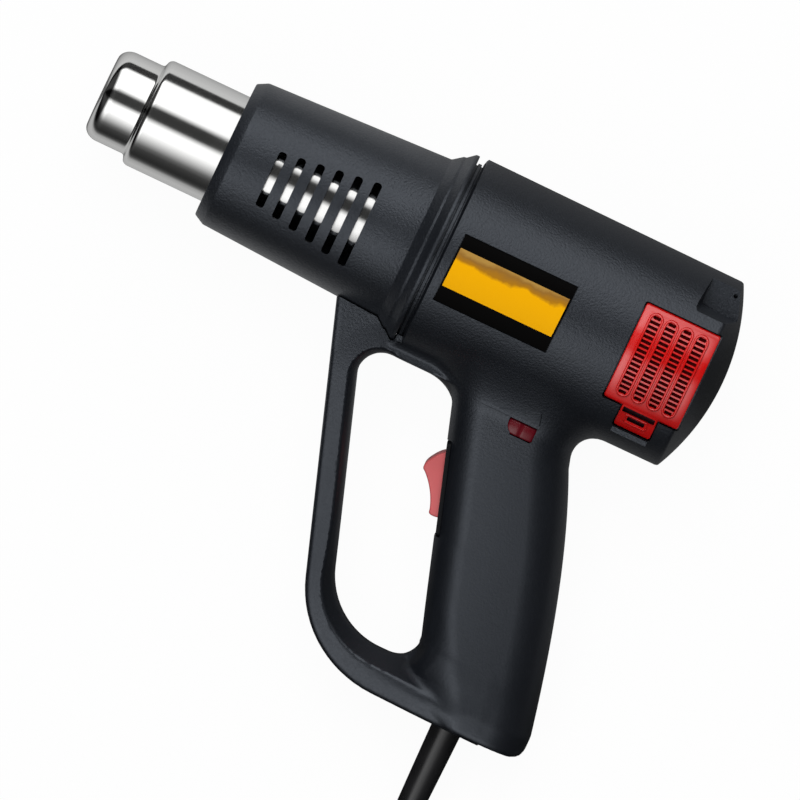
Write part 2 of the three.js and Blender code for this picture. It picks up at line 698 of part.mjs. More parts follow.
function fanDuct() {
  const inner = FAN_RADIUS + FAN_TIP_GAP;
  const outer = inner + DUCT_WALL;
  const hubFront = motorRear - DUCT_HUB_LENGTH;
  const hubRadius = MOTOR_RADIUS + FIT;
  const rim = barrelRadius(fanRear) - WALL - FIT;
  const flangeFace = fanRear - DUCT_FLANGE;
  const hubRear = motorRear - 1;
  const weld = DUCT_WALL / 2;
  let duct = tubeRing(hubFront, hubRear, hubRadius, hubRadius + DUCT_WALL, INNER_SIDES);
  const blank = tubeRing(hubFront, hubRear, hubRadius + weld, outer - weld, INNER_SIDES);
  for (let i = 0; i < DUCT_VANES; i++) {
    const vane = box(hubFront, hubRear, 0, outer, -DUCT_WALL / 2, DUCT_WALL / 2);
    vane.rotateX((2 * Math.PI * (i + 0.5)) / DUCT_VANES);
    duct = duct.add(solid(vane).intersect(blank));
  }
  return duct.add(revolve([
    [hubFront, outer],
    [flangeFace, outer],
    [flangeFace, rim],
    [fanRear, rim],
    [fanRear, inner],
    [hubFront, inner],
  ], INNER_SIDES));
}

// Rocker switch, drawn with x out of the grip's front and y down the grip, from the rocker's pivot
const switchPlace = new THREE.Matrix4().makeRotationZ(Math.PI + GRIP_LEAN).setPosition(
  gripLine(underside - SWITCH_DROP) + PIVOT_DEPTH * Math.cos(GRIP_LEAN),
  underside - SWITCH_DROP + PIVOT_DEPTH * Math.sin(GRIP_LEAN),
  0,
);
const rockerEnd = ROCKER_REACH + ROCKER_CLEARANCE;
const rockerSide = ROCKER_HALF + ROCKER_CLEARANCE;
const switchEnd = rockerEnd + SWITCH_WALL;
const switchSide = rockerSide + SWITCH_WALL;
const bezelFace = PIVOT_DEPTH + BEZEL_STAND;
const bezelBack = bezelFace - BEZEL_THICKNESS;

function rockerButton() {
  const outline = new THREE.Shape();
  const half = [
    [-ROCKER_UNDERSIDE, ROCKER_REACH * 0.96],
    [0, ROCKER_REACH],
    [ROCKER_LOBE * 0.28, ROCKER_REACH * 0.98],
    [ROCKER_LOBE * 0.6, ROCKER_REACH * 0.9],
    [ROCKER_LOBE * 0.88, ROCKER_REACH * 0.785],
    [ROCKER_LOBE, ROCKER_LOBE_OFFSET],
  ];
  outline.moveTo(half[0][0], -half[0][1]);
  for (const [out, along] of half.slice(1)) outline.lineTo(out, -along);
  outline.quadraticCurveTo(ROCKER_LOBE - 2 * ROCKER_DISH, 0, ROCKER_LOBE, ROCKER_LOBE_OFFSET);
  for (const [out, along] of half.slice(0, -1).reverse()) outline.lineTo(out, along);
  const button = solid(drawnAlongZ(outline, -ROCKER_HALF, ROCKER_HALF));
  return button.subtract(solid(rodAlongZ(0, 0, PIN_RADIUS + FIT, -ROCKER_HALF - 1, ROCKER_HALF + 1)));
}

function switchBezel() {
  const rim = new THREE.Shape(roundedPoints([
    [-switchEnd - BEZEL_RIM, -switchSide - BEZEL_RIM, BEZEL_CORNER],
    [switchEnd + BEZEL_RIM, -switchSide - BEZEL_RIM, BEZEL_CORNER],
    [switchEnd + BEZEL_RIM, switchSide + BEZEL_RIM, BEZEL_CORNER],
    [-switchEnd - BEZEL_RIM, switchSide + BEZEL_RIM, BEZEL_CORNER],
  ]));
  const frame = solid(drawnAlongX(rim, bezelBack, bezelFace));
  const mouth = box(bezelBack - 1, bezelFace + 1, -rockerEnd, rockerEnd, -rockerSide, rockerSide);
  return frame.subtract(solid(mouth));
}

function switchBody() {
  const top = bezelBack - FIT;
  const well = -ROCKER_REACH / 2;
  const body = solid(box(-SWITCH_DEPTH, top, -switchEnd, switchEnd, -switchSide, switchSide))
    .subtract(solid(box(well, top + 1, -rockerEnd, rockerEnd, -rockerSide, rockerSide)));
  return body.subtract(solid(rodAlongZ(0, 0, PIN_RADIUS + FIT, -switchSide - 1, switchSide + 1)));
}

// Temperature wheel, potentiometer and board, stacked under the barrel
const wheelX = throat.x - WHEEL_INSET;
const wheelTop = underside - WHEEL_DROP;
const wheelBottom = wheelTop - WHEEL_THICKNESS;
const potTop = wheelTop + FIT + POT_HEIGHT;

function temperatureWheel() {
  const rim = new THREE.Shape(steps(2 * WHEEL_TEETH, 0, 2 * Math.PI).slice(0, -1).map((angle, i) => {
    const radius = WHEEL_RADIUS - (i % 2) * WHEEL_TOOTH;
    return new THREE.Vector2(radius * Math.cos(angle), radius * Math.sin(angle));
  }));
  const disc = drawnAlongZ(rim, 0, WHEEL_THICKNESS).rotateX(Math.PI / 2).translate(wheelX, wheelTop, 0);
  return solid(disc).subtract(solid(rodAlongY(wheelX, 0, POT_RADIUS + FIT, wheelBottom - 1, wheelTop + 1)));
}

function potentiometer() {
  const body = box(
    wheelX - POT_SIZE / 2, wheelX + POT_SIZE / 2, wheelTop + FIT, potTop, -POT_SIZE / 2, POT_SIZE / 2,
  );
  return solid(body).add(solid(rodAlongY(wheelX, 0, POT_RADIUS, wheelBottom, wheelTop + FIT + 1)));
}

// Air filters; side is 1 for the left half and -1 for the right
const filterFront = domeTop - FILTER_FRONT;
const filterRear = filterFront + FILTER_LENGTH;
const filterRadius = rearRadius - FILTER_RECESS;
const filterBore = filterRadius - FILTER_THICKNESS;
const ledgeRadius = filterBore - FIT;

function filterOutline(grow) {
  const middle = (filterFront + filterRear) / 2;
  const tab = TAB_LENGTH / 2 + grow;
  const foot = -FILTER_HALF - TAB_DROP - grow;
  const [x0, x1] = [filterFront - grow, filterRear + grow];
  const [low, high] = [-FILTER_HALF - grow, FILTER_HALF + grow];
  return new THREE.Shape(roundedPoints([
    [x0, low, FILTER_CORNER], [middle - tab, low, 0], [middle - tab, foot, 1], [middle + tab, foot, 1],
    [middle + tab, low, 0], [x1, low, FILTER_CORNER], [x1, high, FILTER_CORNER], [x0, high, FILTER_CORNER],
  ], Math.PI / 6));
}

function panelOutline(grow) {
  const corner = Math.max(FILTER_CORNER + grow, FILTER_CORNER / 2);
  return roundedBox(
    filterFront - grow, filterRear + grow, -FILTER_HALF - grow, FILTER_HALF + grow, corner,
  );
}

// Outline drawn from near the centre plane out through one side of the barrel
function throughSide(outline, side) {
  const reach = BARREL_RADIUS + WALL;
  const start = BARREL_RADIUS / 3;
  return side > 0 ? drawnAlongZ(outline, start, reach) : drawnAlongZ(outline, -reach, -start);
}

function filterCover(side) {
  const shell = tubeRing(filterFront - FILTER_LEDGE, filterRear + FILTER_LEDGE, filterBore, filterRadius);
  let cover = shell.intersect(solid(throughSide(filterOutline(0), side)));
  const middle = (filterFront + filterRear) / 2;
  for (let column = 0; column < COLUMN_COUNT; column++) {
    const x = middle + (column - (COLUMN_COUNT - 1) / 2) * COLUMN_PITCH;
    for (let row = 0; row < SLIT_COUNT; row++) {
      const y = (row - (SLIT_COUNT - 1) / 2) * SLIT_PITCH;
      const [x0, x1] = [x - SLIT_WIDTH / 2, x + SLIT_WIDTH / 2];
      const z = (side * (filterRadius + BARREL_RADIUS / 3)) / 2;
      const depth = filterRadius / 2;
      const slit = box(x0, x1, y - SLIT_HEIGHT / 2, y + SLIT_HEIGHT / 2, z - depth, z + depth);
      cover = cover.subtract(solid(slit));
    }
  }
  const slotTop = -FILTER_HALF - TAB_SLOT_HEIGHT / 2;
  const slot = roundedBox(
    middle - TAB_SLOT_LENGTH / 2, middle + TAB_SLOT_LENGTH / 2, slotTop - TAB_SLOT_HEIGHT, slotTop, 0.6,
  );
  return cover.subtract(solid(throughSide(slot, side)));
}

function filterMesh(side) {
  const sheet = tubeRing(filterFront, filterRear, ledgeRadius - MESH_THICKNESS, ledgeRadius);
  return sheet.intersect(solid(throughSide(panelOutline(-FILTER_LEDGE - FIT), side)));
}

// Label plate in the left half's recess
const labelFront = housingFront + LABEL_INSET;
const labelRear = labelFront + LABEL_LENGTH;
const labelFloor = barrelRadius(labelRear) - LABEL_DEPTH;

function labelPlate() {
  const [x0, x1] = [labelFront + FIT, labelRear - FIT];
  const outline = roundedBox(x0, x1, FIT - LABEL_HALF, LABEL_HALF - FIT, LABEL_CORNER);
  const sheet = tubeRing(labelFront, labelRear, labelFloor + FIT, labelFloor + FIT + LABEL_THICKNESS);
  return sheet.intersect(solid(throughSide(outline, 1)));
}

// Screws that close the housing, as [x, y], driven from the right side
const guardScrewY = underside - GUARD_SCREW_DROP;
const sweepTurn = Math.PI + Math.PI / 4;
const sweepMiddle = (GUARD_SWEEP + OPENING_RADII[3]) / 2;
const sweepCentre = [
  guardLine(guardFront, baseY) + GUARD_SWEEP * Math.tan((Math.PI / 2 - GUARD_LEAN) / 2),
  baseY + GUARD_SWEEP,
];
const screwPlaces = [
  ...BARREL_SCREW_INSETS.map((inset) => [housingFront + inset, BARREL_SCREW_RISE]),
  [guardLine((guardFront + openingFront) / 2, guardScrewY) + GUARD_SCREW_SHIFT, guardScrewY],
  [sweepCentre[0] + sweepMiddle * Math.cos(sweepTurn), sweepCentre[1] + sweepMiddle * Math.sin(sweepTurn)],
  [throat.x - GRIP_SCREW[0], throat.y - GRIP_SCREW[1]],
  [housingFront + BASE_SCREW[0], baseY + BASE_SCREW[1]],
];

function screw(x, y, seat, reach, side = -1) {
  const upward = (a, b) => a - b;
  const under = seat + FIT;
  const headEnds = [side * under, side * (under + SCREW_HEAD_HEIGHT)].sort(upward);
  const shankEnds = [side * (under + SCREW_HEAD_HEIGHT / 2), -side * reach].sort(upward);
  const head = solid(rodAlongZ(x, y, SCREW_HEAD, ...headEnds));
  return head.add(solid(rodAlongZ(x, y, SCREW_RADIUS, ...shankEnds, SHANK_SIDES)));
}

// Cord entry in the base
const cordX = housingFront + CORD_SETBACK;
const bootTip = baseY - BOOT_LENGTH;
const collarTop = baseY + WALL + FIT + BOOT_COLLAR_THICKNESS;
const clampY = baseY + CLAMP_RISE;
const terminalY = baseY + TERMINAL_RISE;
const clampFace = CORD_RADIUS + FIT;

function strainRelief() {
  const collar = BOOT_BASE_RADIUS + BOOT_COLLAR;
  const profile = [
    [0, 0], [0, BOOT_TIP_RADIUS - 0.6], [0.6, BOOT_TIP_RADIUS],
    [BOOT_LENGTH, BOOT_BASE_RADIUS], [BOOT_LENGTH + WALL + FIT, BOOT_BASE_RADIUS],
    [BOOT_LENGTH + WALL + FIT, collar], [collarTop - bootTip, collar], [collarTop - bootTip, 0],
  ].map(([rise, radius]) => new THREE.Vector2(radius, rise));
  return solid(new THREE.LatheGeometry(profile, 20).translate(cordX, bootTip, 0));
}

// The whole housing as one shell, before it is parted on the centre plane
function housingShell() {
  const barrelOutside = barrel(0, housingFront);
  const clear = FIT + 0.2;
  const keepOut = shroudOutside(clear);
  const shroudRoom = revolve([
    [keepOut[0][0], 0], ...keepOut, [housingFront, flangeRadius + clear], [housingFront, 0],
  ]);
  const plate = guardPlate().subtract(shroudRoom);
  let outside = barrelOutside.add(plate).add(gripLoft(0));

  const pocketFront = domeTop - POCKET_LENGTH;
  const pocket = (side, grow) => {
    const [floor, ledge] = [POCKET_FLOOR - grow, POCKET_LEDGE - grow];
    const outline = [
      [ledge, side * floor], [ledge - POCKET_DRAFT, side * BARREL_RADIUS],
      [2 * BARREL_RADIUS, side * BARREL_RADIUS], [2 * BARREL_RADIUS, side * floor],
    ].map(([y, z]) => new THREE.Vector2(y, z));
    return solid(drawnAlongX(new THREE.Shape(outline), pocketFront - grow, domeTop + 1));
  };
  for (const side of [-1, 1]) outside = outside.subtract(pocket(side, 0));

  let hollow = barrel(WALL, spigotEnd);
  for (const side of [-1, 1]) hollow = hollow.subtract(pocket(side, WALL));
  hollow = hollow.add(tubeRing(housingFront - 1, spigotEnd + 1, 0, neckRadius + FIT));
  hollow = hollow.add(gripLoft(WALL));
  const trough = GUARD_BEVEL / 2 + WALL;
  const guardTop = openingTop - OPENING_RADII[0];
  const guardFoot = openingBottom + OPENING_RADII[3] * 0.7;
  const guardHollow = [
    [guardLine(guardFront, guardTop) + trough, guardTop],
    [guardLine(openingFront, guardTop) - trough, guardTop],
    [guardLine(openingFront, guardFoot) - trough, guardFoot],
    [guardLine(guardFront, guardFoot) + trough, guardFoot],
  ].map(([x, y]) => new THREE.Vector2(x, y));
  const guardRoom = drawnAlongZ(new THREE.Shape(guardHollow), WALL - GUARD_HALF, GUARD_HALF - WALL);
  hollow = hollow.add(solid(guardRoom));

  // Seats for the filters stand inside the wall
  for (const side of [-1, 1]) {
    const frame = tubeRing(filterFront - 2 * FILTER_LEDGE, filterRear + FILTER_LEDGE,
      ledgeRadius - FILTER_LEDGE_DEPTH, rearRadius - WALL / 2);
    hollow = hollow.subtract(frame.intersect(solid(throughSide(filterOutline(FILTER_LEDGE), side))));
  }
  let shell = outside.subtract(hollow);

  // Screw bosses run from wall to wall through the hollow
  const boss = SCREW_RADIUS + FIT + BOSS_WALL;
  for (const [x, y] of screwPlaces) {
    shell = shell.add(solid(rodAlongZ(x, y, boss, -BARREL_RADIUS, BARREL_RADIUS)).intersect(outside));
  }
  const far = 2 * BARREL_RADIUS;
  for (const [x, y] of screwPlaces) {
    shell = shell.subtract(solid(rodAlongZ(x, y, SCREW_RADIUS + FIT, -far, SCREW_REACH + FIT)));
    shell = shell.subtract(solid(rodAlongZ(x, y, SCREW_HEAD + FIT, -far, -SCREW_SEAT)));
  }

  // Windows, recesses and the holes in the walls
  for (const side of [-1, 1]) {
    const core = tubeRing(filterFront - WALL, filterRear + WALL, 0, ledgeRadius);
    shell = shell.subtract(solid(throughSide(filterOutline(FIT), side)).subtract(core));
    shell = shell.subtract(solid(throughSide(panelOutline(-FILTER_LEDGE), side)));
  }
  const labelOutline = roundedBox(labelFront, labelRear, -LABEL_HALF, LABEL_HALF, LABEL_CORNER);
  const labelCut = solid(throughSide(labelOutline, 1));
  shell = shell.subtract(labelCut.subtract(tubeRing(labelFront - 1, labelRear + 1, 0, labelFloor)));
  const [windowLow, windowHigh] = [wheelBottom - FIT, wheelTop + FIT];
  const [windowFront, windowRear] = [wheelX - WINDOW_WIDTH / 2, wheelX + WINDOW_WIDTH / 2];
  const window = box(windowFront, windowRear, windowLow, windowHigh, -2 * GRIP_HALF, 2 * GRIP_HALF);
  shell = shell.subtract(solid(window));
  const room = WHEEL_RADIUS + FIT;
  shell = shell.subtract(solid(rodAlongY(wheelX, 0, room, windowLow, windowHigh, ROUND_SIDES)));
  const switchCut = box(-SWITCH_DEPTH, 2 * BEZEL_THICKNESS + PIVOT_DEPTH, -switchEnd - FIT, switchEnd + FIT,
    -switchSide - FIT, switchSide + FIT);
  const bezelCut = box(bezelBack - FIT, 4 * BEZEL_THICKNESS + PIVOT_DEPTH, -switchEnd - BEZEL_RIM - FIT,
    switchEnd + BEZEL_RIM + FIT, -switchSide - BEZEL_RIM - FIT, switchSide + BEZEL_RIM + FIT);
  shell = shell.subtract(solid(switchCut.applyMatrix4(switchPlace)));
  shell = shell.subtract(solid(bezelCut.applyMatrix4(switchPlace)));
  shell = shell.subtract(solid(rodAlongY(cordX, 0, BOOT_BASE_RADIUS + FIT, baseY - 1, baseY + WALL + FIT)));
  const holeX = domeTop - POCKET_HOLE_INSET;
  const holeEnd = POCKET_FLOOR - POCKET_HOLE_DEPTH;
  const hole = rodAlongZ(holeX, POCKET_HOLE_RISE, POCKET_HOLE_RADIUS, holeEnd, POCKET_FLOOR + 1, 10);
  return shell.subtract(solid(hole));
}

function housingHalf(shell, side) {
  const far = 4 * HANDLE_HEIGHT;
  const gap = PARTING_GAP / 2;
  const room = side > 0 ? box(-far, far, -far, far, gap, far) : box(-far, far, -far, far, -far, -gap);
  return shell.intersect(solid(room));
}

// Posts for the cord clamp and a pad for the terminal block stand on the right half's wall
function withPosts(half) {
  const inside = gripLoft(WALL / 2);
  const wall = -BASE_HALF;
  let made = half;
  for (const away of [-CLAMP_SPREAD, CLAMP_SPREAD]) {
    const x = cordX + away;
    const size = CLAMP_HEIGHT / 2;
    const post = solid(box(x - size, x + size, clampY - size, clampY + size, wall, clampFace - FIT));
    const tip = clampFace - CLAMP_SCREW_LENGTH;
    const hole = rodAlongZ(x, clampY, SCREW_RADIUS + FIT, tip, BASE_HALF, SHANK_SIDES);
    made = made.add(post.intersect(inside)).subtract(solid(hole));
  }
  const [length, height, width] = TERMINAL_SIZE;
  const pad = box(cordX - length / 3, cordX + length / 3, terminalY - height / 3, terminalY + height / 3,
    wall, -width / 2 - FIT);
  return made.add(solid(pad).intersect(inside));
}

// Colours and finishes
function finish(color, roughness, metalness = 0) {
  return new THREE.MeshStandardMaterial({ color, roughness, metalness });
}
const blackPlastic = finish(0x33353a, 0.6);
const polishedSteel = finish(0xd8d8d6, 0.12, 1);
const redPlastic = finish(0xc01a16, 0.35);
const coralPlastic = finish(0xc05558, 0.4);
const crimsonPlastic = finish(0x6d1420, 0.45);
const labelYellow = finish(0xf8b408, 0.4);
const mica = finish(0xc9bca0, 0.7);
const heaterAlloy = finish(0x8a8278, 0.5, 1);
const plainSteel = finish(0x9a9a98, 0.35, 1);
const bronze = finish(0xa8783c, 0.4, 1);
const boardGreen = finish(0x1f5a34, 0.5);
const paleNylon = finish(0xd9d6cc, 0.55);
const greyMesh = finish(0x55504c, 0.8);
const blackRubber = finish(0x1e1f21, 0.75);
const nickel = finish(0xc8c6c0, 0.25, 1);

function piece(name, shape, material) {
  const geometry = shape instanceof THREE.BufferGeometry ? skin(solid(shape)) : skin(shape);
  const mesh = new THREE.Mesh(geometry, material);
  mesh.name = name;
  return mesh;
}

const tool = new THREE.Group();
const shell = housingShell();
tool.add(piece("housing_left", housingHalf(shell, 1), blackPlastic));
tool.add(piece("housing_right", withPosts(housingHalf(shell, -1)), blackPlastic));
tool.add(piece("front_shroud", frontShroud(), blackPlastic));
tool.add(piece("nozzle_tube", nozzleTube(), polishedSteel));
const sleeve = tubeRing(HEATER_FRONT, heaterRear - 2 * FIT, sleeveBore, tubeBore - FIT, INNER_SIDES);
tool.add(piece("mica_sleeve", sleeve, mica));
tool.add(piece("heater_former", heaterFormer(), mica));
tool.add(piece("heater_coil", heaterWinding(), heaterAlloy));
const fuseFront = heaterRear + FORMER_DISC + FIT;
const fuse = tubeRing(fuseFront, fuseFront + FUSE_LENGTH, 0, FUSE_RADIUS, SMALL_SIDES);
tool.add(piece("thermal_fuse", fuse, paleNylon));

tool.add(piece("fan_duct", fanDuct(), blackPlastic));
tool.add(piece("motor_can", motorCan(), plainSteel));
const capFront = motorRear - END_CAP_LENGTH;
const capRadius = MOTOR_RADIUS - MOTOR_WALL - FIT;
const endCap = tubeRing(capFront, motorRear, bushRadius + FIT, capRadius, INNER_SIDES);
tool.add(piece("motor_end_cap", endCap, paleNylon));
const frontBush = tubeRing(motorFront, motorFront + BUSH_LENGTH, shaftBore, bushRadius, SMALL_SIDES);
tool.add(piece("front_bush", frontBush, bronze));
const rearBush = tubeRing(motorRear - BUSH_LENGTH, motorRear, shaftBore, bushRadius, SMALL_SIDES);
tool.add(piece("rear_bush", rearBush, bronze));
const armatureFront = motorFront + BUSH_LENGTH + ARMATURE_GAP;
const armatureRear = capFront - ARMATURE_GAP;
const armature = tubeRing(armatureFront, armatureRear, shaftBore, ARMATURE_RADIUS, INNER_SIDES);
tool.add(piece("motor_armature", armature, plainSteel));
const shaft = tubeRing(motorFront - SHAFT_STUB, fanRear + SHAFT_STUB, 0, SHAFT_RADIUS, SMALL_SIDES);
tool.add(piece("motor_shaft", shaft, plainSteel));
tool.add(piece("fan_impeller", fanImpeller(), paleNylon));

const boardEnds = [wheelX - BOARD_LENGTH / 2, wheelX + BOARD_LENGTH / 2];
const boardBottom = potTop + FIT;
const boardHalf = Math.min(...boardEnds.map((x) => gripRoom(x, boardBottom))) - 2 * FIT;
const board = box(...boardEnds, boardBottom, boardBottom + BOARD_THICKNESS, -boardHalf, boardHalf);
tool.add(piece("control_board", board, boardGreen));
tool.add(piece("potentiometer", potentiometer(), paleNylon));
tool.add(piece("temperature_wheel", temperatureWheel(), crimsonPlastic));

const rockerSwitch = new THREE.Group();
rockerSwitch.applyMatrix4(switchPlace);
rockerSwitch.add(piece("switch_body", switchBody(), blackPlastic));
rockerSwitch.add(piece("switch_bezel", switchBezel(), blackPlastic));
const button = piece("rocker_button", rockerButton(), coralPlastic);
button.rotation.z = ROCKER_TILT;
rockerSwitch.add(button);
const pinHalf = switchSide - FIT;
rockerSwitch.add(piece("rocker_pin", rodAlongZ(0, 0, PIN_RADIUS, -pinHalf, pinHalf, 12), plainSteel));
tool.add(rockerSwitch);

for (const [name, side] of [["left", 1], ["right", -1]]) {
  tool.add(piece(`filter_cover_${name}`, filterCover(side), redPlastic));
  tool.add(piece(`filter_mesh_${name}`, filterMesh(side), greyMesh));
}
tool.add(piece("label_plate", labelPlate(), labelYellow));
screwPlaces.forEach(([x, y], i) => {
  tool.add(piece(`housing_screw_${i + 1}`, screw(x, y, SCREW_SEAT, SCREW_REACH), plainSteel));
});

const [terminalLength, terminalHeight, terminalWidth] = TERMINAL_SIZE;
const terminal = box(cordX - terminalLength / 2, cordX + terminalLength / 2, terminalY - terminalHeight / 2,
  terminalY + terminalHeight / 2, -terminalWidth / 2, terminalWidth / 2);
tool.add(piece("terminal_block", terminal, paleNylon));
const innerEnds = [collarTop + FIT, terminalY - terminalHeight / 2 - FIT];
tool.add(piece("cord_inner", rodAlongY(cordX, 0, CORD_RADIUS, ...innerEnds), blackRubber));
const clampHalf = CLAMP_SPREAD + CLAMP_HEIGHT / 2;
const [clampLow, clampHigh] = [clampY - CLAMP_HEIGHT / 2, clampY + CLAMP_HEIGHT / 2];
const clampBack = clampFace + CLAMP_THICKNESS;
let clampBar = solid(box(cordX - clampHalf, cordX + clampHalf, clampLow, clampHigh, clampFace, clampBack));
[-CLAMP_SPREAD, CLAMP_SPREAD].forEach((away, i) => {
  const x = cordX + away;
  clampBar = clampBar.subtract(solid(rodAlongZ(x, clampY, SCREW_RADIUS + FIT, 0, BASE_HALF, SHANK_SIDES)));
  const reach = CLAMP_SCREW_LENGTH - clampBack;
  tool.add(piece(`clamp_screw_${i + 1}`, screw(x, clampY, clampBack, reach, 1), plainSteel));
});
tool.add(piece("cord_clamp", clampBar, paleNylon));
tool.add(piece("strain_relief", strainRelief(), blackRubber));

// Roll at which the barrel and the base's edge touch the bench together, found by halving the interval
function lowest(geometry, roll, keep) {
  const position = geometry.attributes.position;
  let least = Infinity;
  for (let i = 0; i < position.count; i++) {
    if (!keep(position.getY(i))) continue;
    least = Math.min(least, position.getY(i) * Math.sin(roll) + position.getZ(i) * Math.cos(roll));
  }
  return least;
}
const underHalf = tool.getObjectByName("housing_right").geometry;
let [leastRoll, mostRoll] = [0, Math.PI / 6];
for (let i = 0; i < 40; i++) {
  const roll = (leastRoll + mostRoll) / 2;
  const handleLow = lowest(underHalf, roll, (y) => y < throat.y);
  const barrelLow = lowest(underHalf, roll, (y) => y >= throat.y);
  if (handleLow > barrelLow) leastRoll = roll;
  else mostRoll = roll;
}
const roll = (leastRoll + mostRoll) / 2;
const axisHeight = -lowest(underHalf, roll, () => true);
tool.rotation.x = roll;
tool.position.z = axisHeight;

// Mains cord on the bench, in the bench's frame under the tool: out of the boot, into a coil, to the plug
const bootEnd = new THREE.Vector3(cordX, bootTip * Math.cos(roll), axisHeight + bootTip * Math.sin(roll));
const outward = new THREE.Vector3(0, -Math.cos(roll), -Math.sin(roll));
const layFlat = TIE_THICKNESS + FIT + CORD_RADIUS;
const coilOuter = COIL_INNER + COIL_PITCH * COIL_TURNS_LOW;
const coilCentre = new THREE.Vector3(cordX + COIL_AWAY[0], COIL_AWAY[1], layFlat);
const stepsPerTurn = 24;

function coilPoint(turn) {
  const radius = COIL_INNER + COIL_PITCH * Math.abs(COIL_TURNS_LOW - turn);
  const climb = THREE.MathUtils.smoothstep(turn, COIL_TURNS_LOW - 0.25, COIL_TURNS_LOW + 0.25);
  const angle = Math.PI + 2 * Math.PI * turn;
  return new THREE.Vector3(
    coilCentre.x + radius * Math.cos(angle),
    coilCentre.y + radius * Math.sin(angle),
    coilCentre.z + COIL_LAYER * climb,
  );
}

const coilTurns = COIL_TURNS_LOW + COIL_TURNS_HIGH;
const coilPoints = steps(coilTurns * stepsPerTurn, 0, coilTurns).map(coilPoint);
const coilIn = coilPoint(0.001).sub(coilPoint(0)).normalize();
const coilOut = coilPoint(coilTurns).sub(coilPoint(coilTurns - 0.001)).normalize();
coilPoints.unshift(coilPoints[0].clone().addScaledVector(coilIn, -2 * CORD_RADIUS));
coilPoints.push(coilPoints.at(-1).clone().addScaledVector(coilOut, 2 * CORD_RADIUS));

function selfGap(points, diameter) {
  let least = Infinity;
  for (let i = 0; i < points.length; i++) {
    for (let j = i + stepsPerTurn / 2; j < points.length; j++) {
      least = Math.min(least, points[i].distanceTo(points[j]));
    }
  }
  return least - diameter;
}
console.log(`least gap of the coil to itself: ${selfGap(coilPoints, 2 * CORD_RADIUS).toFixed(2)} mm`);

function cordStretch(points, stepCount) {
  const section = new THREE.Shape(steps(10, 0, 2 * Math.PI).slice(0, -1).map(
    (angle) => new THREE.Vector2(CORD_RADIUS * Math.cos(angle), CORD_RADIUS * Math.sin(angle)),
  ));
  const route = new THREE.CatmullRomCurve3(points, false, "centripetal");
  return new THREE.ExtrudeGeometry(section, { steps: stepCount, extrudePath: route });
}

const leadEnd = coilPoints[0].clone().addScaledVector(coilIn, -FIT);
const leadStart = bootEnd.clone().addScaledVector(outward, FIT);
const leadPoints = [
  leadStart,
  leadStart.clone().addScaledVector(outward, LEAD_STRAIGHT / 2),
  leadStart.clone().addScaledVector(outward, LEAD_STRAIGHT),
  leadEnd.clone().addScaledVector(coilIn, -LEAD_LANDING).setZ(leadEnd.z + LEAD_RISE),
  leadEnd.clone().addScaledVector(coilIn, -LEAD_LANDING / 2),
  leadEnd,
];
const tailStart = coilPoints.at(-1).clone().addScaledVector(coilOut, FIT);
const [tailAcross, tailAlong] = TAIL_REACH;
const plugTail = new THREE.Vector3(tailStart.x + tailAcross, tailStart.y + tailAlong, PLUG_TAIL[1]);
const backFromPlug = (distance) => plugTail.clone().setY(plugTail.y - distance);
const tailPoints = [
  tailStart,
  tailStart.clone().addScaledVector(coilOut, tailAlong / 6),
  tailStart.clone().lerp(plugTail, 0.5),
  backFromPlug(tailAlong / 4),
  backFromPlug(tailAlong / 8),
  backFromPlug(FIT),
];

const bench = new THREE.Group();
bench.add(tool);
bench.add(piece("cord_lead", cordStretch(leadPoints, 12), blackRubber));
const upright = () => new THREE.Vector3(0, 0, 1);
bench.add(piece("cord_coil", tubeThrough(coilPoints, CORD_RADIUS, 6, upright), blackRubber));
bench.add(piece("cord_tail", cordStretch(tailPoints, 12), blackRubber));

function cordTie() {
  const middle = (COIL_INNER + coilOuter) / 2;
  const half = (coilOuter - COIL_INNER) / 2 + CORD_RADIUS + FIT;
  const tall = COIL_LAYER + 2 * CORD_RADIUS + 2 * FIT;
  const band = roundedBox(
    middle - half - TIE_THICKNESS, middle + half + TIE_THICKNESS, 0, tall + 2 * TIE_THICKNESS, CORD_RADIUS,
  );
  const inside = roundedPoints([
    [middle - half, TIE_THICKNESS, CORD_RADIUS - TIE_THICKNESS],
    [middle + half, TIE_THICKNESS, CORD_RADIUS - TIE_THICKNESS],
    [middle + half, tall + TIE_THICKNESS, CORD_RADIUS - TIE_THICKNESS],
    [middle - half, tall + TIE_THICKNESS, CORD_RADIUS - TIE_THICKNESS],
  ]);
  band.holes.push(new THREE.Path(inside));
  const loop = drawnAlongZ(band, -TIE_WIDTH / 2, TIE_WIDTH / 2).rotateX(Math.PI / 2);
  return loop.rotateZ(TIE_ANGLE).translate(coilCentre.x, coilCentre.y, 0);
}
bench.add(piece("cord_tie", cordTie(), blackRubber));

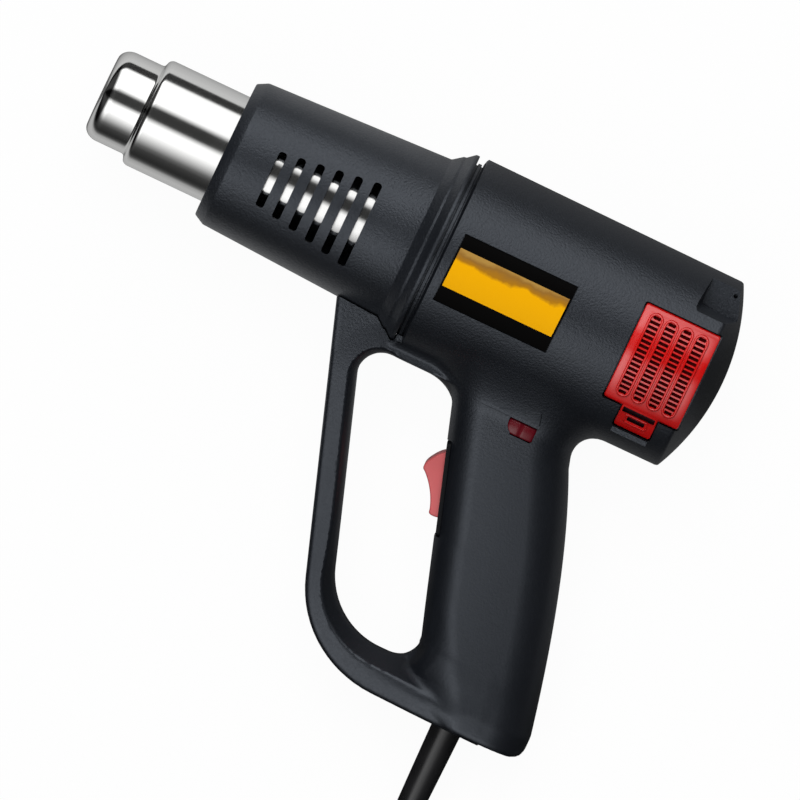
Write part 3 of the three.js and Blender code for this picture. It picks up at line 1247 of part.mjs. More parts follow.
// Two-pin plug lying flat, its pins pointing along the bench
function plugBody() {
  const rings = [
    [0, ...PLUG_TAIL], [PLUG_LENGTH * 0.3, PLUG_TAIL[0] + 1, PLUG_TAIL[1] + 0.5],
    [PLUG_LENGTH * 0.62, PLUG_FACE[0] - 1, PLUG_FACE[1]], [PLUG_LENGTH, ...PLUG_FACE],
  ].map(([along, half, tall]) => steps(16, 0, 2 * Math.PI).slice(0, -1).map((angle) => new THREE.Vector3(
    plugTail.x + half * Math.sign(Math.cos(angle)) * Math.abs(Math.cos(angle)) ** 0.6,
    plugTail.y + along,
    tall + tall * Math.sign(Math.sin(angle)) * Math.abs(Math.sin(angle)) ** 0.6,
  )));
  return loft(rings);
}
bench.add(piece("plug", plugBody(), blackRubber));
[-PLUG_PIN_SPREAD, PLUG_PIN_SPREAD].forEach((away, i) => {
  const root = plugTail.y + PLUG_LENGTH + FIT;
  const tip = root + PLUG_PIN_LENGTH;
  const pin = rodAlongY(plugTail.x + away, PLUG_FACE[1], PLUG_PIN_RADIUS, root, tip);
  bench.add(piece(`plug_pin_${i + 1}`, pin, nickel));
});

// Origin under the middle of the tool itself, without its cord
bench.updateMatrixWorld(true);
const around = new THREE.Box3();
for (const part of tool.children) if (part.name !== "strain_relief") around.expandByObject(part, true);
const middle = around.getCenter(new THREE.Vector3());
bench.position.set(-middle.x, -middle.y, 0);

export default bench;
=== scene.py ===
import json
import math

import bmesh
import bpy
import numpy as np
import openvdb
from mathutils import Matrix, Vector


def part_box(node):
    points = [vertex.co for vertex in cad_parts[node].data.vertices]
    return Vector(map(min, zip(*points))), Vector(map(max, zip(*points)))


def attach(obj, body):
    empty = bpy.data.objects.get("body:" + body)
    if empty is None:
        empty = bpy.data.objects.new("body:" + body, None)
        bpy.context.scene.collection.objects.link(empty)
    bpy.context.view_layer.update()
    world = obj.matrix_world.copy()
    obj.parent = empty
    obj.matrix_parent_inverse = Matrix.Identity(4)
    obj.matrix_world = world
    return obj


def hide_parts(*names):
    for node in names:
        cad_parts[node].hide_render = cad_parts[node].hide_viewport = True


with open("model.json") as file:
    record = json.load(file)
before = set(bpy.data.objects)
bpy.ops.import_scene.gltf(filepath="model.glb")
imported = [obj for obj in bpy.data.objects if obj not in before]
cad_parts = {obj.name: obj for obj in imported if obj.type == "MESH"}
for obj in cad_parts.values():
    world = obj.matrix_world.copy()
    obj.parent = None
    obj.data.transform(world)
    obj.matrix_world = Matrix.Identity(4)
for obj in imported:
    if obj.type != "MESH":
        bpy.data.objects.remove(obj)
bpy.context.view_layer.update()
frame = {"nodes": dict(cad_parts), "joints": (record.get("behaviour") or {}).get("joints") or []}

# The view and the bench
# The camera hangs over the bench and looks straight down on the tool's left side through a long lens.
# The bench is a pale disc, and two long strip lights run beside the tool, parallel to its barrel.
PICTURE_SIDE = 0.2891  # metres across the picture at the height of the barrel's axis
CAMERA_REACH = 10.0
VIEW_CENTRE = (0.02115, 0.00434)
VIEW_TURN = math.radians(25.38)
LAMP_PLACE = (-0.3, 0.5, 1.7)
LAMP_SIZE = 1.4
LAMP_POWER = 17
BENCH_RADIUS = 0.45
BENCH_DROP = 0.0002
SHADE_SPAN = 0.6  # metres of bench that its shade is given for
STRIPS = [  # how bright the studio is at an angle from overhead, in degrees towards the barrel's top
    (-180, 0.39), (-132, 0.39), (-120, 0.25), (-110, 0.11), (-95, 0.025), (-80, 0.045), (-70, 0.13),
    (-62, 0.36), (-39, 1.15), (-18, 1.15), (-8, 0.035), (13, 0.035), (23, 1.15), (76, 1.15), (81, 0.03),
    (100, 0.03), (103, 0.75), (180, 0.75),
]
STRIP_ENDS = [  # and how bright along the strips, from behind the nozzle to behind the barrel
    (-1, 0.04), (-0.66, 0.04), (-0.46, 1.2), (-0.28, 1.45), (0.0, 0.97), (0.12, 0.9), (0.5, 0.2),
    (0.75, 0.06), (1, 0.05),
]
# Painted shade: the bench's glow in reflections is painted darker under the tool, where its shadow would
# fall on the bench
BENCH_SHADE = [  # how bright the bench is in reflections, by metres from under the barrel's axis
    (-0.25, 0.025), (-0.16, 0.05), (-0.125, 0.14), (-0.1, 0.36), (-0.06, 0.5), (-0.03, 0.44), (-0.018, 0.12),
    (0.018, 0.13), (0.03, 0.36), (0.06, 0.5), (0.12, 0.6), (0.23, 0.62), (0.27, 0.03),
]
joints = {joint["name"]: joint for joint in frame["joints"]}
barrel_axis = Vector(joints["fan_spin"]["pos_m"])
wheel_axis = joints["heat_wheel_turn"]["axis"]
roll = math.atan2(wheel_axis[2], wheel_axis[1])
mouth_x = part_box("nozzle_tube")[0].x
# Pieces are drawn in millimetres: x back from the nozzle's mouth, y away from the handle, z to the left
TOOL = (Matrix.Translation((mouth_x, barrel_axis.y, barrel_axis.z)) @ Matrix.Rotation(roll, 4, "X")
        @ Matrix.Scale(0.001, 4))

scene = bpy.context.scene
scene.view_settings.view_transform = "Standard"


def placed(name, data):
    """A new object in the scene."""
    made = bpy.data.objects.new(name, data)
    scene.collection.objects.link(made)
    return made


camera = placed("view", bpy.data.cameras.new("view"))
camera.data.lens = camera.data.sensor_width * CAMERA_REACH / PICTURE_SIDE
camera.data.clip_end = 2 * CAMERA_REACH
camera.location = (*VIEW_CENTRE, barrel_axis.z + CAMERA_REACH)
camera.rotation_euler = (0, 0, VIEW_TURN)
scene.camera = camera


class Wire:
    """One output of a node. Sums on it add Math nodes, and make() adds any other node."""

    def __init__(self, tree, node=None, output=0):
        self.tree, self.node, self.output = tree, node, output

    def make(self, kind, settings=None, sockets=None, output=0):
        node = self.tree.nodes.new("ShaderNode" + kind)
        for key, value in (settings or {}).items():
            if key == "stops":
                ramp = node.color_ramp.elements
                while len(ramp) < len(value):
                    ramp.new(0.5)
                for stop, (place, colour) in zip(ramp, value):
                    stop.position = place
                    stop.color = (*colour, 1) if hasattr(colour, "__len__") else (colour, colour, colour, 1)
            else:
                setattr(node, key, value)
        for key, value in (sockets or {}).items():
            if isinstance(value, Wire):
                self.tree.links.new(value.node.outputs[value.output], node.inputs[key])
            else:
                node.inputs[key].default_value = value
        return Wire(self.tree, node, output)

    def at(self, output):
        return Wire(self.tree, self.node, output)

    def math(self, operation, *values):
        return self.make("Math", {"operation": operation}, dict(enumerate(values)))

    def __add__(self, other):
        return self.math("ADD", self, other)

    def __sub__(self, other):
        return self.math("SUBTRACT", self, other)

    def __rsub__(self, other):
        return self.math("SUBTRACT", other, self)

    def __mul__(self, other):
        return self.math("MULTIPLY", self, other)

    def __truediv__(self, other):
        return self.math("DIVIDE", self, other)

    __radd__ = __add__
    __rmul__ = __mul__


world = bpy.data.worlds.new("studio")
scene.world = world
world.use_nodes = True
world.node_tree.nodes.clear()
sky = Wire(world.node_tree)
towards = sky.make("SeparateXYZ", {}, {0: sky.make("TexCoord")})
overhead = towards.math("ARCTAN2", towards.at("Y"), towards.at("Z")) / math.tau + 0.5
strips = sky.make("ValToRGB", {"stops": [(angle / 360 + 0.5, light) for angle, light in STRIPS]},
                  {0: overhead})
ends = sky.make("ValToRGB", {"stops": [(place / 2 + 0.5, light) for place, light in STRIP_ENDS]},
                {0: towards.at("X") * 0.5 + 0.5})
lit = sky.make("Background", {}, {"Color": strips * ends, "Strength": 1.0})
white = sky.make("Background", {}, {"Color": (1, 1, 1, 1), "Strength": 1.0})
seen = sky.make("LightPath").at("Is Camera Ray")
sky.make("OutputWorld", {}, {"Surface": sky.make("MixShader", {}, {0: seen, 1: lit, 2: white})})

soft_lamp = placed("soft_lamp", bpy.data.lights.new("soft_lamp", "AREA"))
soft_lamp.data.size = LAMP_SIZE
soft_lamp.data.energy = LAMP_POWER
soft_lamp.location = LAMP_PLACE
soft_lamp.rotation_euler = (-Vector(LAMP_PLACE)).to_track_quat("-Z", "Y").to_euler()
soft_lamp.visible_glossy = False


def fresh_finish(name):
    """A new material with an empty tree."""
    material = bpy.data.materials.new(name)
    material.use_nodes = True
    material.node_tree.nodes.clear()
    return material, Wire(material.node_tree)


bench_paint, paint = fresh_finish("bench_paint")
matt = paint.make("BsdfDiffuse", {}, {"Color": (0.9, 0.9, 0.9, 1)})
path = paint.make("LightPath")
spot = paint.make("SeparateXYZ", {}, {0: paint.make("NewGeometry")})
# Painted shade on the bench, by distance from under the barrel, seen in reflections only
stops = [(place / SHADE_SPAN + 0.5, light) for place, light in BENCH_SHADE]
shade = paint.make("ValToRGB", {"stops": stops}, {0: (spot.at("Y") - barrel_axis.y) / SHADE_SPAN + 0.5})
# Painted reflection: for glossy rays the bench glows, painted brighter towards the nozzle's end than under
# the barrel, as painted shade for the tool's shadow on it
painted_end_light = paint.make("MapRange", {}, {0: spot.at("X"), 1: -0.03, 2: 0.02, 3: 1.0, 4: 0.35})
painted_reflection = 1 - path.at("Is Glossy Ray") * (1 - shade * painted_end_light)
glow = paint.make("Emission", {}, {"Color": painted_reflection, "Strength": 1.0})
shown = path.math("MAXIMUM", path.at("Is Camera Ray") * 0.96, path.at("Is Glossy Ray"))
paint.make("OutputMaterial", {}, {"Surface": paint.make("MixShader", {}, {0: shown, 1: matt, 2: glow})})
bench_mesh = bpy.data.meshes.new("bench")
bench_rim = [(BENCH_RADIUS * math.cos(turn), BENCH_RADIUS * math.sin(turn), -BENCH_DROP)
             for turn in np.linspace(0, math.tau, 96, endpoint=False)]
bench_mesh.from_pydata(bench_rim, [], [list(range(len(bench_rim)))])
bench_mesh.materials.append(bench_paint)
placed("bench", bench_mesh)


# Mains lead
# A round two-core lead with a black sheath leaves the handle's base through a tapered rubber boot.
# Its spare length is wound flat in two layers and held by a strap, with a moulded two-pin plug at its end.
CORD_RADIUS = 3.7
BASE_Y = -154.7
CORD_X = 211.2
BOOT_LENGTH = 48.0
BOOT_PROFILE = [  # along from its tip, and radius
    (0, 3.75), (-0.05, 4.0), (0.15, 4.35), (0.7, 4.6), (1.6, 4.66), (12, 4.95), (24, 5.25), (36, 5.52),
    (48, 5.75), (50.9, 5.75), (50.9, 8.35), (53.9, 8.35), (53.9, 3.75),
]
COIL_CENTRE = (58.0, -258.0)  # from the lead's exit along the bench, and from the barrel's axis
COIL_INNER = 30.0
COIL_PITCH = 8.0
COIL_TURNS = (3.5, 3.0)  # lower layer winding in, upper layer winding out
LAY_HEIGHT = 5.0
TIE_ANGLE = math.radians(225)
TIE_HALF = 4.2
TIE_THICK = 1.0
TIE_NEAR, TIE_FAR, TIE_HIGH, TIE_BEND = 25.0, 63.0, 18.0, 4.5
PLUG_SECTIONS = [  # along, half width, underside and top
    (0, 5.6, 1.6, 10.4), (0.5, 6.4, 0.8, 11.2), (2, 6.9, 0.2, 11.8), (7, 7.4, 0.1, 12.2),
    (13, 8.6, 0.1, 13.2), (19, 11.2, 0.1, 14.8), (24, 14.2, 0.1, 16.4), (28, 16.2, 0.1, 17.4),
    (32, 17.2, 0.1, 17.9), (36, 17.4, 0.1, 17.9), (38.8, 17.2, 0.2, 17.8), (39.6, 16.8, 0.6, 17.4),
    (40, 16.0, 1.4, 16.6),
]


def shaded(wire, sockets):
    """The usual shader with these values, wired to its material's output."""
    surface = wire.make("BsdfPrincipled", {}, sockets)
    wire.make("OutputMaterial", {}, {"Surface": surface})


def noise(wire, where, scale, detail):
    """A cloudy pattern about one half."""
    return wire.make("TexNoise", {}, {"Vector": where, "Scale": scale, "Detail": detail})


def bumped(wire, strength, distance, height):
    """A normal that follows a height, given in parts of a distance in metres."""
    return wire.make("Bump", {}, {"Strength": strength, "Distance": distance, "Height": height})


def two_tones(wire, colour, dark, light, low, high, mask):
    """A colour between its darker and lighter tones, as a mask goes from low to high."""
    stops = [(low, [c * dark for c in colour]), (high, [c * light for c in colour])]
    return wire.make("ValToRGB", {"stops": stops}, {0: mask})


def rubber(name, colour, roughness, grain):
    """Soft black rubber with a faint bloom and a fine skin."""
    material, wire = fresh_finish(name)
    where = wire.make("TexCoord").at("Object")
    bloom = noise(wire, where, 90.0, 4.0)
    skin = noise(wire, where, 2600.0, 2.0)
    shaded(wire, {"Base Color": two_tones(wire, colour, 0.8, 1.35, 0.3, 0.75, bloom),
                  "Roughness": bloom * 0.2 + (roughness - 0.1), "Specular IOR Level": 0.9,
                  "Normal": bumped(wire, grain, 0.00004, skin)})
    return material


cord_rubber = rubber("cord_rubber", (0.01, 0.01, 0.011), 0.36, 0.3)
boot_rubber = rubber("boot_rubber", (0.009, 0.009, 0.01), 0.3, 0.15)
plug_rubber = rubber("plug_rubber", (0.015, 0.015, 0.016), 0.5, 0.4)


def on_bench(x, y, z):
    """Millimetres along the bench, from under the nozzle's mouth, as a point in metres."""
    return Vector((mouth_x + x / 1000, barrel_axis.y + y / 1000, z / 1000))


def coil_point(turn):
    """A point of the wound lead, after so many turns."""
    low = COIL_TURNS[0]
    radius = COIL_INNER + COIL_PITCH * abs(low - turn)
    climb = min(max((turn - low + 0.25) / 0.5, 0), 1)
    angle = math.pi + math.tau * turn
    x = CORD_X + COIL_CENTRE[0] + radius * math.cos(angle)
    y = COIL_CENTRE[1] + radius * math.sin(angle)
    return on_bench(x, y, LAY_HEIGHT + COIL_PITCH * climb * climb * (3 - 2 * climb))


def eased(points, steps):
    """Points on a smooth curve through the given ones, closer where these are closer."""
    points = [2 * points[0] - points[1], *points, 2 * points[-1] - points[-2]]
    line = []
    for a, b, c, d in zip(points, points[1:], points[2:], points[3:]):
        t1 = (b - a).length ** 0.5
        t2 = t1 + (c - b).length ** 0.5
        t3 = t2 + (d - c).length ** 0.5
        for t in np.linspace(t1, t2, steps, endpoint=False):
            ab = a.lerp(b, t / t1)
            bc = b.lerp(c, (t - t1) / (t2 - t1))
            cd = c.lerp(d, (t - t2) / (t3 - t2))
            line.append(ab.lerp(bc, t / t2).lerp(bc.lerp(cd, (t - t1) / (t3 - t1)), (t - t1) / (t2 - t1)))
    return [*line, points[-2]]


# The lead comes down from the boot onto the bench, runs into the coil, and out of it to the plug
out_of_base = (TOOL.to_3x3() @ Vector((0, -1, 0))).normalized()
boot_tip = TOOL @ Vector((CORD_X, BASE_Y - BOOT_LENGTH, 0))
all_turns = sum(COIL_TURNS)
coil = [coil_point(turn) for turn in np.linspace(0, all_turns, int(all_turns * 40) + 1)]
coil_in = (coil_point(0.001) - coil_point(0)).normalized()
coil_out = (coil_point(all_turns) - coil_point(all_turns - 0.001)).normalized()
straight_in = [coil[0] - coil_in * reach for reach in (0.0144, 0.0074)]
straight_out = [coil[-1] + coil_out * reach for reach in (0.0074, 0.0077)]
landing = straight_in[1] - coil_in * 0.0143
landing.z = straight_in[1].z + 0.0006
leaving = [boot_tip + out_of_base * reach for reach in (-0.004, 0.0083, 0.0163)]
lead = eased([*leaving, landing, *straight_in], 8)
plug_tail = straight_out[1] + Vector((0.006, 0.044, 0))
plug_tail.z = 0.006
into_plug = [plug_tail + Vector((0, reach, 0)) for reach in (-0.011, -0.0055, 0.001)]
tail = eased([straight_out[0], straight_out[1] + coil_out * 0.00733, straight_out[1].lerp(plug_tail, 0.5),
              *into_plug], 8)
route = [*lead, *coil, *tail]
cord_line = bpy.data.curves.new("mains_cord", "CURVE")
cord_line.dimensions = "3D"
cord_line.bevel_depth = CORD_RADIUS / 1000
cord_line.bevel_resolution = 4
cord_line.use_fill_caps = True
path = cord_line.splines.new("POLY")
path.points.add(len(route) - 1)
for knot, place in zip(path.points, route):
    knot.co = (*place, 1)
cord_line.materials.append(cord_rubber)
cord = placed("mains_cord", cord_line)
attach(cord, "housing")
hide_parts("cord_lead", "cord_coil", "cord_tail")


def turned(profile, sides, turn=Matrix.Identity(4)):
    """A profile of (along, radius) turned about x; a first radius above nought closes it on itself."""
    angles = np.linspace(0, math.tau, sides, endpoint=False)
    points, rings = [], []
    for along, radius in profile:
        if radius:
            rings.append([len(points) + k for k in range(sides)])
            points += [turn @ Vector((along, radius * math.cos(a), radius * math.sin(a))) for a in angles]
        else:
            rings.append([len(points)] * sides)
            points.append(turn @ Vector((along, 0, 0)))
    closed = profile[0][1] > 0
    faces = []
    for near, far in zip(rings, rings[1:] + (rings[:1] if closed else [])):
        for k in range(sides):
            n = (k + 1) % sides
            corner = [near[k], far[k], far[n], near[n]]
            corner = [c for i, c in enumerate(corner) if c not in corner[:i]]
            if len(corner) > 2:
                faces.append(corner)
    return points, faces


def blank(shape, name="blank"):
    """Points and faces as an object, its faces turned to look outwards."""
    mesh = bpy.data.meshes.new(name)
    mesh.from_pydata([tuple(point) for point in shape[0]], [], [list(map(int, face)) for face in shape[1]])
    filled = bmesh.new()
    filled.from_mesh(mesh)
    if filled.calc_volume(signed=True) < 0:
        mesh.flip_normals()
    filled.free()
    return placed(name, mesh)


def piece(name, shape, body, material, node, sharp=35, in_tool=True):
    """A shape as a shown object, riding on a body and standing for a CAD node."""
    if isinstance(shape, bpy.types.Object):
        made = shape
        made.name = made.data.name = name
    else:
        made = blank(shape, name)
    if in_tool:
        made.data.transform(TOOL)
    made.data.materials.clear()
    made.data.materials.append(material)
    made.data.polygons.foreach_set("use_smooth", [True] * len(made.data.polygons))
    made.data.set_sharp_from_angle(angle=math.radians(sharp))
    made.data.update()
    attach(made, body)
    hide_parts(node)
    return made


def swept(rings, closed=False):
    """A skin through rings of equal counts, capped at its ends or closed on itself."""
    count = len(rings[0])
    points = [p for ring in rings for p in ring]
    faces = []
    for r in range(len(rings) if closed else len(rings) - 1):
        near, far = r * count, (r + 1) % len(rings) * count
        faces += [[near + k, near + (k + 1) % count, far + (k + 1) % count, far + k] for k in range(count)]
    if not closed:
        faces.append(list(range(count))[::-1])
        faces.append([(len(rings) - 1) * count + k for k in range(count)])
    return points, faces


UP_FROM_BASE = Matrix.Translation((CORD_X, BASE_Y, 0)) @ Matrix.Rotation(math.pi / 2, 4, "Z")
boot_shape = turned([(along - BOOT_LENGTH, radius) for along, radius in BOOT_PROFILE], 64, UP_FROM_BASE)
boot = piece("strain_relief_boot", boot_shape, "housing", boot_rubber, "strain_relief")

tie_cloth, wire = fresh_finish("tie_cloth")
where = wire.make("TexCoord").at("Object")
weave = wire.make("TexWave", {"bands_direction": "Z"},
                  {"Vector": where, "Scale": 900.0, "Distortion": 0.6}).at(1)
threads = wire.make("ValToRGB", {"stops": [(0.2, (0.008, 0.008, 0.009)), (0.8, (0.03, 0.03, 0.032))]},
                    {0: weave})
shaded(wire, {"Base Color": threads, "Roughness": 0.85, "Normal": bumped(wire, 0.6, 0.0002, weave)})


def rounded(corners, step=math.radians(9)):
    """An outline through corners (x, y, radius), each rounded by its radius."""
    outline = []
    for (bx, by, _), (x, y, radius), (ax, ay, _) in zip(corners[-1:] + corners[:-1], corners,
                                                        corners[1:] + corners[:1]):
        here = Vector((x, y))
        if not radius:
            outline.append((x, y))
            continue
        back = (Vector((bx, by)) - here).normalized()
        ahead = (Vector((ax, ay)) - here).normalized()
        half = math.acos(max(-1, min(1, back.dot(ahead)))) / 2
        centre = here + (back + ahead).normalized() * (radius / math.sin(half))
        start = here + back * (radius / math.tan(half)) - centre
        end = here + ahead * (radius / math.tan(half)) - centre
        turn = math.atan2(start.x * end.y - start.y * end.x, start.dot(end))
        for angle in np.linspace(0, turn, math.ceil(abs(turn) / step - 1e-6) + 1):
            c, s = math.cos(angle), math.sin(angle)
            outline.append((centre.x + c * start.x - s * start.y, centre.y + s * start.x + c * start.y))
    return outline


def panel(x0, x1, y0, y1, corner):
    """A rectangle's outline with its corners rounded."""
    return rounded([(x0, y0, corner), (x1, y0, corner), (x1, y1, corner), (x0, y1, corner)])


def strap_ring(across):
    """The strap's outer and inner loops round the coil, at a place across its width."""
    aim = Vector((math.cos(TIE_ANGLE), math.sin(TIE_ANGLE)))
    side = Vector((-aim.y, aim.x))
    hub = Vector((CORD_X + COIL_CENTRE[0], COIL_CENTRE[1])) + side * across
    loops = []
    for inset in (0.0, TIE_THICK):
        box = panel(TIE_NEAR + inset, TIE_FAR - inset, inset, TIE_HIGH - inset, TIE_BEND - inset)
        loops.append([on_bench(hub.x + aim.x * reach, hub.y + aim.y * reach, rise) for reach, rise in box])
    return loops


near_edge, far_edge = strap_ring(-TIE_HALF), strap_ring(TIE_HALF)
tie_shape = swept([near_edge[0], far_edge[0], far_edge[1], near_edge[1]], closed=True)
tie = piece("cord_tie_strap", tie_shape, "housing", tie_cloth, "cord_tie", in_tool=False)

plug_low, plug_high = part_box("plug")
plug_x = (plug_low.x + plug_high.x) / 2
plug_rings = []
for along, wide, low, high in PLUG_SECTIONS:
    bend = min(wide, (high - low) / 2) * 0.72
    section = rounded([(-wide, low, bend), (wide, low, bend), (wide, high, bend), (-wide, high, bend)],
                      math.radians(15))
    plug_rings.append([Vector((plug_x + x / 1000, plug_low.y + along / 1000, z / 1000)) for x, z in section])
plug = piece("mains_plug", swept(plug_rings), "housing", plug_rubber, "plug", in_tool=False)


def metal(name, colour, roughness, lines, scale):
    """Bare or plated metal with faint working lines along one direction."""
    material, wire = fresh_finish(name)
    where = wire.make("TexCoord").at("Object")
    stretched = wire.make("Mapping", {}, {"Vector": where, "Scale": scale})
    marks = noise(wire, stretched, 1.0, 5.0)
    shaded(wire, {"Base Color": (*colour, 1), "Metallic": 1.0,
                  "Roughness": marks * 0.16 + (roughness - 0.08),
                  "Normal": bumped(wire, lines, 0.00003, marks)})
    return material


pin_nickel = metal("pin_nickel", (0.62, 0.6, 0.55), 0.24, 0.2, (900, 60, 900))
for number in (1, 2):
    low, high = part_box(f"plug_pin_{number}")
    radius = (high.x - low.x) * 500
    length = (high.y - low.y) * 1000
    profile = [(0, 0), (0, radius), (length - 2.2, radius), (length - 1.2, radius * 0.93),
               (length - 0.4, radius * 0.72), (length - 0.05, radius * 0.4), (length, 0)]
    root = Matrix.Translation(((low.x + high.x) / 2, low.y, (low.z + high.z) / 2))
    aim = root @ Matrix.Rotation(math.pi / 2, 4, "Z") @ Matrix.Scale(0.001, 4)
    piece(f"mains_pin_{number}", turned(profile, 40, aim), "housing", pin_nickel,
                      f"plug_pin_{number}", in_tool=False)
cord_length = sum((b - a).length for a, b in zip(route, route[1:]))


# Housing halves
# Two black moulded shells with barrel, grip and knuckle guard in one, parted on the tool's centre plane.
# The skin has a fine spark grain, and six screws from the right side close the halves.
HOUSING_FRONT = 136.0
BARREL_RADIUS = 37.3
BARREL_TAPER = 0.7
BARREL_LENGTH = 111.7
DOME_CENTRE = 165.7
DOME_RADIUS = 82.0
WALL = 2.6
GRIP_LEAN = math.tan(math.radians(18))
GUARD_LEAN = math.tan(math.radians(18.9))
OPENING_TOP = -41.0
OPENING_BOTTOM = -139.7
OPENING_FRONT = 122.6
GRIP_FRONT = 160.2
RAIL_FRONT = 112.0
GRIP_REAR = [  # heights, and how far back the grip's rear is there
    (-52.0, 210.7), (-55.4, 212.1), (-60.4, 214.5), (-65.4, 216.5), (-70.5, 218.4), (-80.5, 222.1),
    (-90.6, 225.5), (-100.6, 228.5), (-110.7, 231.3), (-120.8, 233.9), (-130.8, 236.3), (-140.9, 238.7),
    (-146.0, 239.7),
]
GRIP_HALF = 17.0
FOOT_SPREAD = 3.0  # how much wider each side of the grip is at its foot
GUARD_HALF = 11.5
GUARD_LIFT = 7.5  # how far the guard's face rises to meet the grip's foot
SKIN_STEP = 0.9  # spacing of the points that the outer skin is drawn through
ROOM_STEP = 1.5  # the same for the inside
NUDGE = 0.02  # how far apart a field is read to find its slope
POCKET_FRONT, POCKET_FLOOR, POCKET_SIDE = 227.1, 24.5, 12.0
POCKET_FALL = 2.0 / 25.3
FILTER_FRONT, FILTER_REAR, FILTER_HALF = 210.4, 239.9, 18.7
FILTER_MIDDLE = (FILTER_FRONT + FILTER_REAR) / 2
TAB_HALF, TAB_LENGTH = 7.1, 8.4
FILTER_SEAT = 34.0
LABEL_FRONT, LABEL_REAR, LABEL_HALF, LABEL_LEAN = 140.55, 185.25, 13.1, 0.3
LABEL_SEAT = 36.08
WHEEL_X = 189.0
WHEEL_LOW, WHEEL_HIGH = -47.6, -41.6
WHEEL_ROOM = 17.3
SCREW_PLACES = [(150.0, 31.0), (219.0, 31.0), (119.8, -44.5), (155.9, -137.9), (207.0, -62.3),
                (229.0, -145.7)]
POST_RADIUS, HEAD_HOLE, SHANK_HOLE = 3.8, 3.6, 1.8


def moulded(name, colour, roughness, grain, grain_scale=1900.0, gloss=0.5, coat=0.0, sheen=(1, 1, 1),
            depth=0.1):
    """Moulded plastic: a grained skin, rubbed smoother where the tool is held, and a little cloudiness."""
    material, wire = fresh_finish(name)
    where = wire.make("TexCoord").at("Object")
    cloud = noise(wire, where, 38.0, 3.0)
    fine = wire.make("TexNoise", {}, {"Vector": where, "Scale": grain_scale, "Detail": 2.0,
                                      "Roughness": 0.6}).at(0)
    held = wire.make("SeparateXYZ", {}, {0: where}).at("Y")
    worn = wire.make("MapRange", {"interpolation_type": "SMOOTHSTEP"},
                     {0: held, 1: -0.01, 2: 0.035, 3: 0.25, 4: 1.0})
    shaded(wire, {"Base Color": two_tones(wire, colour, 0.88, 1.14, 0.25, 0.8, cloud),
                  "Roughness": fine * 0.2 + cloud * 0.08 + (roughness - 0.14), "Specular IOR Level": gloss,
                  "Specular Tint": (*sheen, 1), "Coat Weight": coat, "Coat Roughness": 0.04,
                  "Normal": bumped(wire, grain, depth / 1000, fine * worn)})
    return material


black_plastic = moulded("black_plastic", (0.0062, 0.0074, 0.0102), 0.4, 0.9, 1150.0, gloss=1.0,
                        sheen=(0.82, 0.89, 1), depth=0.2)


def round_max(a, b, radius):
    """What two fields share, its edge rounded."""
    corner = np.hypot(np.maximum(a + radius, 0), np.maximum(b + radius, 0))
    return np.minimum(np.maximum(a, b), -radius) + corner


def round_min(a, b, radius):
    """Two fields together, the corner between them filled."""
    corner = np.hypot(np.maximum(radius - a, 0), np.maximum(radius - b, 0))
    return np.maximum(np.minimum(a, b), radius) - corner


def eased_step(value, start, end):
    """Nought before start, one after end, and an even change between."""
    share = np.clip((value - start) / (end - start), 0, 1)
    return share * share * (3 - 2 * share)


def outline_distance(x, y, outline):
    """Distance from a closed outline, below nought inside it."""
    nearest = np.full(np.broadcast(x, y).shape, 1e9)
    inside = np.zeros(nearest.shape, bool)
    for (ax, ay), (bx, by) in zip(outline, outline[1:] + outline[:1]):
        ex, ey = bx - ax, by - ay
        along = np.clip(((x - ax) * ex + (y - ay) * ey) / (ex * ex + ey * ey), 0, 1)
        nearest = np.minimum(nearest, (x - ax - along * ex) ** 2 + (y - ay - along * ey) ** 2)
        if ey:
            inside ^= ((ay > y) != (by > y)) & (x < ax + ex * (y - ay) / ey)
    return np.where(inside, -1, 1) * np.sqrt(nearest)


def guard_x(start, y):
    """How far back a line along the guard is at a height, given its start at the opening's top."""
    return start + (OPENING_TOP - y) * GUARD_LEAN


def grip_x(y):
    """How far back the grip's front is at a height."""
    return GRIP_FRONT + (OPENING_TOP - y) * GRIP_LEAN


SOLE_Y = BASE_Y - 0.35
FINE_TURN = math.radians(5)
guard_corners = [(OPENING_FRONT, OPENING_TOP, 9.5),
                 (guard_x(OPENING_FRONT, OPENING_BOTTOM), OPENING_BOTTOM, 28.5)]
opening = rounded([*guard_corners, (grip_x(OPENING_BOTTOM), OPENING_BOTTOM, 9.0),
                   (GRIP_FRONT, OPENING_TOP, 14.0)], FINE_TURN)
slope_edge = rounded([*guard_corners, (216.0, OPENING_BOTTOM, 7.0), (176.0, OPENING_TOP, 14.0)], FINE_TURN)
rail_edge = rounded([(guard_x(RAIL_FRONT, -18.0), -18.0, 0), (guard_x(RAIL_FRONT, SOLE_Y), SOLE_Y, 41.5),
                     (224.0, SOLE_Y, 0), (222.0, -146.0, 0), (198.0, -47.0, 0), (198.0, -18.0, 0)],
                    FINE_TURN)
rear_y = np.linspace(-146.0, -52.0, 48)  # the grip's rear line, smoothed
rear_x = np.polyval(np.polyfit(*np.array(GRIP_REAR).T, 4), rear_y) + 0.25


